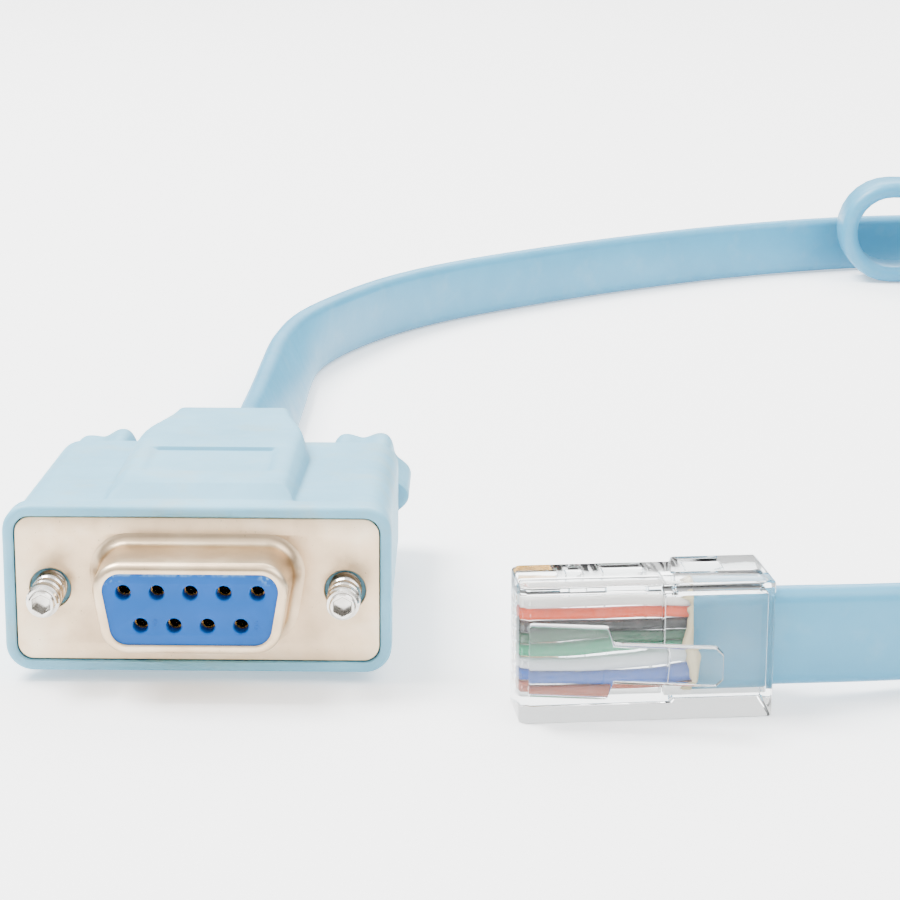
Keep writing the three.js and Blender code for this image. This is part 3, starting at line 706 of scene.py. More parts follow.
@dataclass
class FlatLead:
    """Eight-wire flat lead: out of the neck, round the back, folded in a tied hank, and on to the plug."""

    width: float = 8.5
    thickness: float = 2.5
    length_m: float = 1.8
    hank_right: float = 194.4
    hank_left: float = 80.6
    hank_inset: float = 12.0
    hank_top: float = 16.0
    columns: tuple[float, float, float] = (178.95, 170.15, 161.35)
    fold_pitch: float = 2.7
    table_gap: float = 0.1
    tie_at: float = 141.0
    tie_width: float = 6.0
    tie_thick: float = 0.8
    far_points: list[tuple[float, float, float]] = field(
        default_factory=lambda: [
            (0, 15.5, 8.25), (0, 22, 8.25), (0, 42, 5.6), (0, 62, 4.5), (0.1, 80, 4.38), (0.3, 92, 4.38),
            (1.5, 104.5, 4.38), (5.2, 117, 4.38), (11.2, 130, 4.38), (19.5, 141.8, 4.38), (36, 158, 4.38),
            (51, 170, 4.38), (63.5, 178.3, 4.38), (82.9, 187.3, 4.38), (104, 191, 4.38), (128, 192.2, 4.38),
            (155, 192.8, 4.38), (178, 193.4, 4.38), (196, 193.8, 4.38), (205.5, 193.8, 4.38), (213, 186.4, 4.38),
            (205.5, 178.95, 4.38), (200, 178.95, 4.38), (194.7, 178.95, 4.38),
        ]
    )
    near_points: list[tuple[float, float, float]] = field(
        default_factory=lambda: [
            (194.8, 170.15, 14.5), (200, 169.4, 13.9), (206.5, 160, 12.2), (208.5, 143, 9.2), (204, 119, 5.8),
            (193, 88, 4.38), (176, 56, 4.38), (154, 29, 4.38), (128, 10, 4.38), (100, -3.8, 4.38),
            (75, -13.8, 4.6), (59, -19.3, 5.35), (47.86, -22.02, 5.84), (41.2, -22.81, 5.84),
        ]
    )
    lean: float = math.radians(26)
    lean_start: float = 26.0
    lean_run: float = 26.0
    lean_end: float = 84.0
    lean_fade: float = 36.0
    far_turn_reach: float = 213.0
    far_turn_run: float = 17.0
    far_turn_edge: float = 187.0
    untwist_run: float = 42.0
    untwist_edge: float = 110.0
    centres: list[Vector] = field(default_factory=list)
    uprights: list[Vector] = field(default_factory=list)

    def build(self) -> Piece:
        """Lay the lead and its tie.

        Returns:
            The lead.
        """
        self.route()
        rings = [self.ring(i) for i in range(len(self.centres))]
        lead = mesh_object("flat_lead", *loft(rings), LEAD_VINYL)
        seat(lead, Body.CABLE, "lead_vinyl", "cord_far", "cord_near", "cord_hank", "plug_jacket_end")
        self.tie()
        return lead

    def route(self) -> None:
        """Work out the lead's middle line and which way its width points."""
        far = self.spline(self.far_points, 3.0)
        near = self.spline(self.near_points, 3.0)
        self.centres = []
        self.uprights = []
        total = len(far)
        for i, point in enumerate(far):
            flat = self.turned_flat(point) if i > total * 0.75 else 0.0
            tilt = flat * math.pi / 2
            if flat > 0:
                point.z = (self.width - self.thickness) / 2 * math.cos(tilt) + self.thickness / 2 + self.table_gap
            self.add(point, flat, self.leaning(point) if i < total / 2 else 0.0)
        for point in self.hank():
            self.add(point, 1.0)
        for point in near:
            away = (point - Vector(self.near_points[0])).length
            still_flat = 1 - smooth_step(away / self.untwist_run) if point.y > self.untwist_edge else 0.0
            self.add(point, still_flat)

    def turned_flat(self, point: Vector) -> float:
        """How far the lead has turned flat past its far turn, from 0 to 1.

        Args:
            point: Point of its middle line.

        Returns:
            Share of a quarter turn.
        """
        if point.y >= self.far_turn_edge:
            return 0.0
        return smooth_step((self.far_turn_reach - point.x) / self.far_turn_run)

    def leaning(self, point: Vector) -> float:
        """How far the lead leans over as it turns out of the neck.

        Args:
            point: Point of its middle line.

        Returns:
            Lean to the left in radians.
        """
        over = smooth_step((point.y - self.lean_start) / self.lean_run)
        return self.lean * over * (1 - smooth_step((point.y - self.lean_end) / self.lean_fade))

    def add(self, point: Vector, flat: float, lean: float = 0.0) -> None:
        """Add a point of the middle line.

        Args:
            point: Where it is.
            flat: 0 where the lead stands on its edge, 1 where it lies flat.
            lean: Lean to the left where it runs away from the camera, in radians.
        """
        if self.centres and (point - self.centres[-1]).length < 0.4:
            return
        angle = flat * math.pi / 2
        self.centres.append(point)
        self.uprights.append(Vector((-math.sin(lean), math.sin(angle), math.cos(angle) * math.cos(lean))))

    def spline(self, points: Sequence[tuple[float, float, float]], step: float) -> list[Vector]:
        """Centripetal curve through points, cut into even steps.

        Args:
            points: Points that it passes.
            step: Distance between samples.

        Returns:
            Samples along it.
        """
        p = [Vector(q) for q in points]
        p = [p[0] * 2 - p[1], *p, p[-1] * 2 - p[-2]]
        dense: list[Vector] = []
        for i in range(1, len(p) - 2):
            a, b, c, d = p[i - 1 : i + 3]
            t0 = 0.0
            t1 = t0 + (b - a).length ** 0.5
            t2 = t1 + (c - b).length ** 0.5
            t3 = t2 + (d - c).length ** 0.5
            for k in range(24):
                t = t1 + (t2 - t1) * k / 24
                ab = a * ((t1 - t) / (t1 - t0)) + b * ((t - t0) / (t1 - t0))
                bc = b * ((t2 - t) / (t2 - t1)) + c * ((t - t1) / (t2 - t1))
                cd = c * ((t3 - t) / (t3 - t2)) + d * ((t - t2) / (t3 - t2))
                abc = ab * ((t2 - t) / (t2 - t0)) + bc * ((t - t0) / (t2 - t0))
                bcd = bc * ((t3 - t) / (t3 - t1)) + cd * ((t - t1) / (t3 - t1))
                dense.append(abc * ((t2 - t) / (t2 - t1)) + bcd * ((t - t1) / (t2 - t1)))
        dense.append(p[-2].copy())
        lengths = [0.0]
        for a, b in zip(dense, dense[1:]):
            lengths.append(lengths[-1] + (b - a).length)
        count = max(2, round(lengths[-1] / step))
        wanted = [lengths[-1] * k / count for k in range(count + 1)]
        return [
            Vector([float(np.interp(w, lengths, [q[axis] for q in dense])) for axis in range(3)]) for w in wanted
        ]

    def hank(self) -> list[Vector]:
        """Middle line of the folded lead: one turn in the far column, two nested in each of the others.

        Returns:
            Samples along it.
        """
        middle = self.hank_top / 2
        outer = middle - self.thickness / 2 - self.table_gap
        inner = outer - self.fold_pitch
        between = (outer + inner) / 2
        right = self.hank_right - middle
        lefts = [self.hank_left + middle] + [self.hank_left + self.hank_inset + middle] * 2
        first, second, third = self.columns
        line: list[Vector] = []

        def run(x0: float, x1: float, y: float, z: float) -> None:
            """Straight run at one height, pinched where the band holds it.

            Args:
                x0: Where it starts.
                x1: Where it ends.
                y: Its column.
                z: Its height.
            """
            count = max(2, round(abs(x1 - x0) / 4))
            for k in range(count + 1):
                x = x0 + (x1 - x0) * k / count
                near = 1 - smooth_step((abs(x - self.tie_at) - self.tie_width / 2 - 1) / 14)
                pinch = math.copysign(self.tie_thick + 0.35, middle - z) * near
                line.append(Vector((x, y, z + pinch)))

        def bend(x: float, z: float, radius: float, side: int, y0: float, y1: float) -> None:
            """Half turn: down round the right end, or up round the left end.

            Args:
                x: Middle of the turn.
                z: Height of its middle.
                radius: Its radius.
                side: 1 at the right end, -1 at the left.
                y0: Column that it leaves.
                y1: Column that it reaches.
            """
            count = 14
            for k in range(1, count):
                angle = math.pi / 2 - math.pi * k / count
                y = y0 + (y1 - y0) * smooth_step(k / count)
                line.append(Vector((x + side * radius * math.cos(angle), y, z + side * radius * math.sin(angle))))

        run(right + 4, lefts[0], first, middle - outer)
        bend(lefts[0], middle, outer, -1, first, first)
        run(lefts[0], right - 0.6, first, middle + outer)
        bend(right - 0.6, middle + (outer - inner) / 2, between, 1, first, second)
        run(right - 0.6, lefts[1], second, middle - inner)
        bend(lefts[1], middle, inner, -1, second, second)
        run(lefts[1], right - 3.5, second, middle + inner)
        bend(right - 3.5, middle, inner, 1, second, third)
        run(right - 3.5, lefts[2], third, middle - inner)
        bend(lefts[2], middle, inner, -1, third, third)
        run(lefts[2], right - 1.6, third, middle + inner)
        bend(right - 1.6, middle - (outer - inner) / 2, between, 1, third, third)
        run(right - 1.6, lefts[2], third, middle - outer)
        bend(lefts[2], middle, outer, -1, third, third)
        run(lefts[2], right, third, middle + outer)
        bend(right, middle, outer, 1, third, second)
        run(right, lefts[1], second, middle - outer)
        bend(lefts[1], middle, outer, -1, second, second)
        run(lefts[1], right + 4, second, middle + outer)
        return line

    def ring(self, index: int) -> Ring:
        """Section of the lead at one sample: flat sides and round edges.

        Args:
            index: Number of the sample.

        Returns:
            Its outline.
        """
        here = self.centres[index]
        ahead = self.centres[min(index + 1, len(self.centres) - 1)]
        behind = self.centres[max(index - 1, 0)]
        along = (ahead - behind).normalized()
        wide = self.uprights[index]
        wide = (wide - along * wide.dot(along)).normalized()
        thick = along.cross(wide)
        edge = self.thickness / 2
        reach = self.width / 2 - edge
        outline: Ring = []
        for turn in range(2):
            sign = 1 - 2 * turn
            for k in range(9):
                angle = -math.pi / 2 + math.pi * k / 8
                up = sign * (reach + edge * math.cos(angle))
                out = sign * edge * math.sin(angle)
                outline.append(here + wide * up + thick * out)
        return outline

    def tie(self) -> None:
        """Wrap a closed flat band round the hank."""
        low = self.columns[2] - self.width / 2 - 0.35
        high = self.columns[0] + self.width / 2 + 0.35
        thick, top = self.tie_thick, self.hank_top
        half = self.tie_width / 2
        rings = []
        for x, grow in ((-half, -0.25), (-2.7, 0.0), (2.7, 0.0), (half, -0.25)):
            inner = rounded([(high, thick), (high, top - thick), (low, top - thick), (low, thick)], 1.2, 6)
            reach = thick + grow
            outer = rounded(
                [(high + reach, thick - reach), (high + reach, top - thick + reach),
                 (low - reach, top - thick + reach), (low - reach, thick - reach)], 1.2 + reach, 6,
            )
            rings.append([[(self.tie_at + x, y, z) for y, z in loop] for loop in (inner, outer)])
        outline = [rings[0][0], *[r[1] for r in rings], rings[-1][0]]
        band = mesh_object("hank_band", *loft(outline, closed=True), TIE)
        seat(band, Body.CABLE, "tie_vinyl", "hank_tie")


# Connector


@dataclass
class Hood:
    """One soft moulding: rimmed body that thins towards the back, raised spine, label recess and neck."""

    plate_width: float = 30.81
    plate_height: float = 12.55
    plate_corner: float = 1.4
    rim_side: float = 1.03
    rim_step: float = 0.3
    rim_length: float = 2.2
    rim_proud: float = 0.25
    rear_height: float = 11.5
    length: float = 30.0
    corner: float = 2.3
    rear_round: float = 1.3
    spine_height: float = 16.5
    spine_start: float = 1.8
    spine_bevel: float = 2.4
    spine_top: float = 14.0
    spine_foot: float = 16.6
    spine_straight: float = 19.4
    neck_end: float = 35.3
    neck_width: float = 11.2
    neck_height: float = 15.4
    label: tuple[float, float, float, float] = (11.1, 8.3, 8.6, 0.3)

    def build(self) -> Piece:
        """Build the hood.

        Returns:
            The hood.
        """
        angles = self.angles()
        rings = self.pocket_rings(angles) + [self.station(y, inset, angles) for y, inset in self.stations()]
        rings += self.neck_cap(angles)
        hood = mesh_object("hood_moulding", *loft(rings), HOOD_VINYL)
        hood.data.set_sharp_from_angle(angle=math.radians(50))
        return seat(hood, Body.CABLE, "hood_vinyl", "hood")

    def angles(self) -> np.ndarray:
        """Directions of the ring points, evenly spread round the rim.

        Returns:
            Angles in radians.
        """
        loop = rectangle(self.plate_width, self.plate_height, self.plate_corner, 8)
        dense = []
        for (x0, y0), (x1, y1) in zip(loop, loop[1:] + loop[:1]):
            count = max(1, round(math.hypot(x1 - x0, y1 - y0) / 0.26))
            dense += [(x0 + (x1 - x0) * k / count, y0 + (y1 - y0) * k / count) for k in range(count)]
        return np.unwrap(np.array([math.atan2(y, x) for x, y in dense]))

    def reach(self, angles: np.ndarray, outline: Sequence[tuple[float, float]]) -> np.ndarray:
        """Distance from the axis to a convex outline in each direction.

        Args:
            angles: Directions.
            outline: Convex outline.

        Returns:
            Distances.
        """
        points = np.array(outline)
        after = np.roll(points, -1, axis=0)
        edge = after - points
        keep = np.hypot(edge[:, 0], edge[:, 1]) > 1e-9
        normal = np.stack([edge[keep, 1], -edge[keep, 0]], 1)
        offset = (normal * points[keep]).sum(1)
        flip = offset < 0
        normal[flip] *= -1
        offset[flip] *= -1
        way = np.stack([np.cos(angles), np.sin(angles)], 1)
        facing = way @ normal.T
        with np.errstate(divide="ignore"):
            distance = np.where(facing > 1e-9, offset / np.maximum(facing, 1e-9), np.inf)
        return distance.min(1)

    def body_outline(self, y: float, inset: float) -> list[tuple[float, float]]:
        """Rounded rectangle of the rim or the body.

        Args:
            y: Distance behind the plate's face.
            inset: How far the outline is drawn in.

        Returns:
            Its points.
        """
        rim = 1 - smooth_step((y - self.rim_length + 0.15) / 0.3)
        step = 2 * self.rim_step * (1 - rim)
        width = self.plate_width + 2 * self.rim_side - step - 2 * inset
        front = self.plate_height + 2 * self.rim_side
        thinning = (front - 2 * self.rim_step - self.rear_height) * max(0.0, min(1.0, y / self.length))
        height = front - step - thinning - 2 * inset
        return rectangle(width, height, max(0.5, self.corner - inset), 10)

    def spine_reach(self, angles: np.ndarray, y: float) -> np.ndarray:
        """Distance from the axis to the spine's flanks, its edges softly rounded.

        Args:
            angles: Directions.
            y: Distance behind the plate's face.

        Returns:
            Distances, zero where there is no spine.
        """
        if y < self.spine_start:
            return np.zeros_like(angles)
        front = self.plate_height + 2 * self.rim_side - 2 * self.rim_step
        rise = min(1.0, max(0.0, (y - self.spine_start) / self.spine_bevel))
        fall = max(0.0, (y - self.spine_straight) / (self.neck_end - self.spine_straight))
        half = (front + (self.spine_height - front) * rise) / 2 - (self.spine_height - self.neck_height) / 2 * fall
        waist = smooth_step(fall * 0.92 + 0.04)
        wide = self.spine_foot / 2 + (self.neck_width - self.spine_foot) / 2 * waist
        shoulder = front / 2
        slope = np.array([self.spine_height / 2 - shoulder, (self.spine_foot - self.spine_top) / 2])
        slope = slope / np.linalg.norm(slope)
        flank_at = slope[0] * self.spine_foot / 2 + slope[1] * shoulder
        c, s = np.abs(np.cos(angles)), np.abs(np.sin(angles))
        top = half / np.maximum(s, 1e-6)
        side = wide / np.maximum(c, 1e-6)
        flank = flank_at / np.maximum(slope[0] * c + slope[1] * s, 1e-6)
        return self.soft_min(self.soft_min(top, flank, 0.45), side, 0.9 + 0.8 * min(1.0, fall))

    def soft_min(self, a: np.ndarray, b: np.ndarray, blend: float) -> np.ndarray:
        """Smaller of two distances, with the meeting rounded.

        Args:
            a: First distances.
            b: Second distances.
            blend: Size of the rounding.

        Returns:
            Blended distances.
        """
        h = np.clip(1 - np.abs(a - b) / blend, 0, 1)
        return np.minimum(a, b) - h * h * blend / 4

    def station(self, y: float, inset: float, angles: np.ndarray, share: float = 1.0) -> Ring:
        """One ring of the outer surface.

        Args:
            y: Distance behind the plate's face.
            inset: How far the body is drawn in, beyond 90 for no body at all.
            angles: Directions of the points.
            share: Share of the spine's reach.

        Returns:
            The ring.
        """
        body = self.reach(angles, self.body_outline(y, min(inset, 5.5))) if inset < 90 else np.zeros_like(angles)
        if inset > 5.5:
            body = body * max(0.0, 1 - (inset - 5.5) / 6)
        spine = self.spine_reach(angles, y) * share
        reach = -self.soft_min(-body, -spine, 0.5) if y > self.spine_start else body
        x, z = reach * np.cos(angles), reach * np.sin(angles)
        z = self.with_label(x, y, z)
        return [Vector((float(a), PLATE_Y + y, AXIS_Z + float(b))) for a, b in zip(x, z, strict=True)]

    def with_label(self, x: np.ndarray, y: float, z: np.ndarray) -> np.ndarray:
        """Sink the label recess into the spine's top.

        Args:
            x: Across.
            y: Distance behind the plate's face.
            z: Height above the axis.

        Returns:
            New heights.
        """
        width, start, length, depth = self.label
        edge = 0.16
        along = min(1.0, max(0.0, (y - start) / edge)) * min(1.0, max(0.0, (start + length - y) / edge))
        across = np.clip((width / 2 - np.abs(x)) / edge, 0, 1)
        return z - depth * along * across * (z > self.spine_height / 2 - 0.8)

    def stations(self) -> list[tuple[float, float]]:
        """Distances behind the plate and insets of the outer rings, from the rim's lip to the neck.

        Returns:
            Pairs of distance and inset.
        """
        lip = 0.45
        turns = [math.pi / 2 * k / 6 for k in range(7)]
        pairs = [(-self.rim_proud + lip * (1 - math.cos(t)), lip * (1 - math.sin(t))) for t in turns]
        cuts = [0.6, 1.2, 1.7]
        cuts += [self.spine_start + 0.15 * k for k in range(1, 19)]
        cuts += [4.8, 5.4, 6.0, 6.8, 7.6, 8.1]
        label_start, label_end = self.label[1], self.label[1] + self.label[2]
        cuts += [label_start + d for d in (-0.05, 0.0, 0.08, 0.16, 0.3)]
        cuts += [9.4, 10.4, 11.4, 12.4, 13.4, 14.4, 15.4, 16.2]
        cuts += [label_end + d for d in (-0.3, -0.16, -0.08, 0.0, 0.08)]
        cuts += [17.6, 18.4, 19.0, 19.3, 19.5, 19.8, 20.5, 21.5, 22.5, 23.5, 24.5, 25.5, 26.5, 27.5]
        pairs += [(y, 0.0) for y in cuts]
        fillet = self.rear_round
        start = self.length - fillet
        for k in range(9):
            turn = math.pi / 2 * k / 8
            pairs.append((start + fillet * math.sin(turn), fillet * (1 - math.cos(turn))))
        pairs += [(self.length + 0.002 * k, inset) for k, inset in enumerate((1.8, 2.6, 3.6, 4.8, 6.2, 8.0, 12.0), 1)]
        pairs += [(y, 99.0) for y in (30.4, 31.0, 31.6, 32.2, 32.8, 33.4, 34.0, 34.5, 34.8)]
        return pairs

    def pocket_rings(self, angles: np.ndarray) -> list[Ring]:
        """Rings of the plate's seat, from its middle out to the rim's face.

        Args:
            angles: Directions of the points.

        Returns:
            The rings.
        """
        seat_outline = rectangle(self.plate_width + 0.16, self.plate_height + 0.16, self.plate_corner, 10)
        inner = self.reach(angles, seat_outline)
        floor = 0.9
        steps = [(0.02, floor), (0.5, floor), (0.96, floor), (1.0, floor - 0.05), (1.0, 0.0), (1.0, -0.12)]
        rings = []
        for share, y in steps:
            rings.append([
                Vector((float(r * share * math.cos(a)), PLATE_Y + y, AXIS_Z + float(r * share * math.sin(a))))
                for r, a in zip(inner, angles, strict=True)
            ])
        opened = inner + 0.12
        rings.append([
            Vector((float(r * math.cos(a)), PLATE_Y - self.rim_proud, AXIS_Z + float(r * math.sin(a))))
            for r, a in zip(opened, angles, strict=True)
        ])
        return rings

    def neck_cap(self, angles: np.ndarray) -> list[Ring]:
        """Rounded end of the neck with the lead's mouth sunk into it.

        Args:
            angles: Directions of the points.

        Returns:
            The rings.
        """
        rings = []
        for k in range(1, 6):
            turn = math.pi / 2 * k / 5
            share = 1 - 0.09 * (1 - math.cos(turn))
            rings.append(self.station(self.neck_end - 0.5 + 0.5 * math.sin(turn), 99.0, angles, share))
        mouth = self.reach(angles, rectangle(3.1, 9.1, 1.5, 6))
        last = self.spine_reach(angles, self.neck_end) * 0.91
        for share, y in ((0.5, 0.0), (1.0, 0.0), (1.0, -0.6), (0.3, -0.6)):
            reach = last + (mouth - last) * share if y == 0.0 else mouth * share
            rings.append([
                Vector((float(r * math.cos(a)), PLATE_Y + self.neck_end + y, AXIS_Z + float(r * math.sin(a))))
                for r, a in zip(reach, angles, strict=True)
            ])
        return rings


@dataclass
class MatingFace:
    """Metal plate and shell, blue insulator with nine holes, and the contacts behind them."""

    plate_width: float = 30.81
    plate_height: float = 12.55
    plate_thick: float = 0.8
    plate_corner: float = 1.4
    shell_width: float = 16.33
    shell_height: float = 7.9
    shell_reach: float = 5.9
    shell_wall: float = 0.8
    shell_corner: float = 2.4
    side_angle: float = math.radians(10)
    pin_pitch: float = 2.77
    row_pitch: float = 2.84
    hole_radius: float = 0.62
    screw_spacing: float = 24.99
    screw_hole: float = 1.75

    def build(self) -> None:
        """Build the plate, the shell and the insulator, and finish the contacts."""
        self.plate()
        self.insulator()
        self.contacts()

    def d_outline(self, inset: float, divisions: int = 14) -> list[tuple[float, float]]:
        """The D outline, wide side up, drawn in all round.

        Args:
            inset: How far it is drawn in; a negative inset grows it.
            divisions: Steps in each corner.

        Returns:
            Its points.
        """
        radius = self.shell_corner - inset
        half = self.shell_height / 2 - inset
        arc = self.shell_width / 2 - self.shell_corner
        top = arc + radius * (1 + math.sin(self.side_angle)) / math.cos(self.side_angle)
        low = top - 2 * half * math.tan(self.side_angle)
        return rounded([(top, half), (-top, half), (-low, -half), (low, -half)], radius, divisions)

    def plate(self) -> None:
        """Pressed plate with the shell drawn out of it, its root flared and its lip rolled in."""
        circle = [(math.cos(2 * math.pi * k / 40), math.sin(2 * math.pi * k / 40)) for k in range(40)]
        holes = [
            [(side.value * self.screw_spacing / 2 + self.screw_hole * c, self.screw_hole * s) for c, s in circle]
            for side in Side
        ]
        flange = flat_plate(
            "mounting_plate", rectangle(self.plate_width, self.plate_height, self.plate_corner, 10),
            [*holes, self.d_outline(-0.75)], 0.0, self.plate_thick, 0.09, NICKEL,
        )
        seat(flange, Body.CABLE, "nickel_plate", "dsub_shell")
        profile: list[tuple[float, float]] = [(-1.0, 0.4), (-1.0, 0.02)]
        flare = 0.95
        for k in range(9):
            turn = math.pi / 2 * k / 8
            profile.append((-flare * (1 - math.sin(turn)), -flare * (1 - math.cos(turn))))
        profile += [(0.02, -2.5), (0.04, -4.0)]
        lip = 0.62
        for k in range(11):
            turn = math.pi * 0.62 * k / 10
            profile.append((0.04 + lip * (1 - math.cos(turn)), -self.shell_reach + lip * (1 - math.sin(turn))))
        profile += [(self.shell_wall + 0.05, -self.shell_reach + 0.35), (self.shell_wall + 0.05, 0.4)]
        rings = [
            [(x, PLATE_Y + y, AXIS_Z + z) for x, z in self.d_outline(inset)] for inset, y in profile
        ]
        shell = mesh_object("drawn_shell", *loft(rings, closed=True), NICKEL)
        shell.data.set_sharp_from_angle(angle=math.radians(50))
        seat(shell, Body.CABLE, "nickel_plate", "dsub_shell")

    def pin_places(self) -> list[tuple[float, float]]:
        """Places of the nine contacts from the connector's axis.

        Returns:
            Pairs of x and height, contact 1 first.
        """
        top = [((2 - k) * self.pin_pitch, self.row_pitch / 2) for k in range(5)]
        return top + [((1.5 - k) * self.pin_pitch, -self.row_pitch / 2) for k in range(4)]

    def insulator(self) -> None:
        """Blue insulator with chamfered holes and two raised contact numbers."""
        circle = [(math.cos(2 * math.pi * k / 32), math.sin(2 * math.pi * k / 32)) for k in range(32)]
        radius = self.hole_radius
        holes = [[(x + radius * c, z + radius * s) for c, s in circle] for x, z in self.pin_places()]
        front = -self.shell_reach + 0.15
        block = flat_plate(
            "insulator_block", self.d_outline(self.shell_wall - 0.1), holes, front, 4.5, 0.16, NYLON, 3
        )
        seat(block, Body.CABLE, "blue_insulator", "insulator")
        for text, x, z in (("9", -2.92, -1.35), ("6", 5.45, -1.4)):
            self.numeral(text, x, z, front)

    def numeral(self, text: str, x: float, z: float, front: float) -> None:
        """Mould a contact's number on the face.

        Args:
            text: The number.
            x: Middle of the figure, across.
            z: Middle of the figure, above the axis.
            front: Face it stands on.
        """
        curve = bpy.data.curves.new(f"number_{text}", "FONT")
        curve.body = text
        curve.size = 1.15 * MM
        curve.extrude = 0.035 * MM
        curve.align_x = "CENTER"
        curve.align_y = "CENTER"
        temporary = bpy.data.objects.new(f"number_{text}_text", curve)
        bpy.context.scene.collection.objects.link(temporary)
        bpy.context.view_layer.update()
        mesh = bpy.data.meshes.new_from_object(temporary.evaluated_get(bpy.context.evaluated_depsgraph_get()))
        bpy.data.objects.remove(temporary)
        mesh.transform(Matrix.Rotation(math.pi / 2, 4, "X"))
        mesh.transform(Matrix.Translation((x * MM, (PLATE_Y + front) * MM, (AXIS_Z + z) * MM)))
        figure = bpy.data.objects.new(f"contact_number_{text}", mesh)
        bpy.context.scene.collection.objects.link(figure)
        mesh.materials.clear()
        mesh.materials.append(NYLON.material())
        seat(figure, Body.CABLE, "blue_insulator")

    def contacts(self) -> None:
        """Gild the nine contacts."""
        for number in range(1, 10):
            carry_over(f"socket_contact_{number}", GOLD)


def carry_over(node: str, finish: Finish) -> None:
    """Give a CAD node that stays its finish.

    Args:
        node: Name of the node.
        finish: Its finish.
    """
    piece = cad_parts[node]
    if not piece.material_slots:
        piece.data.materials.append(finish.material())
    for place in piece.material_slots:
        place.material = finish.material()


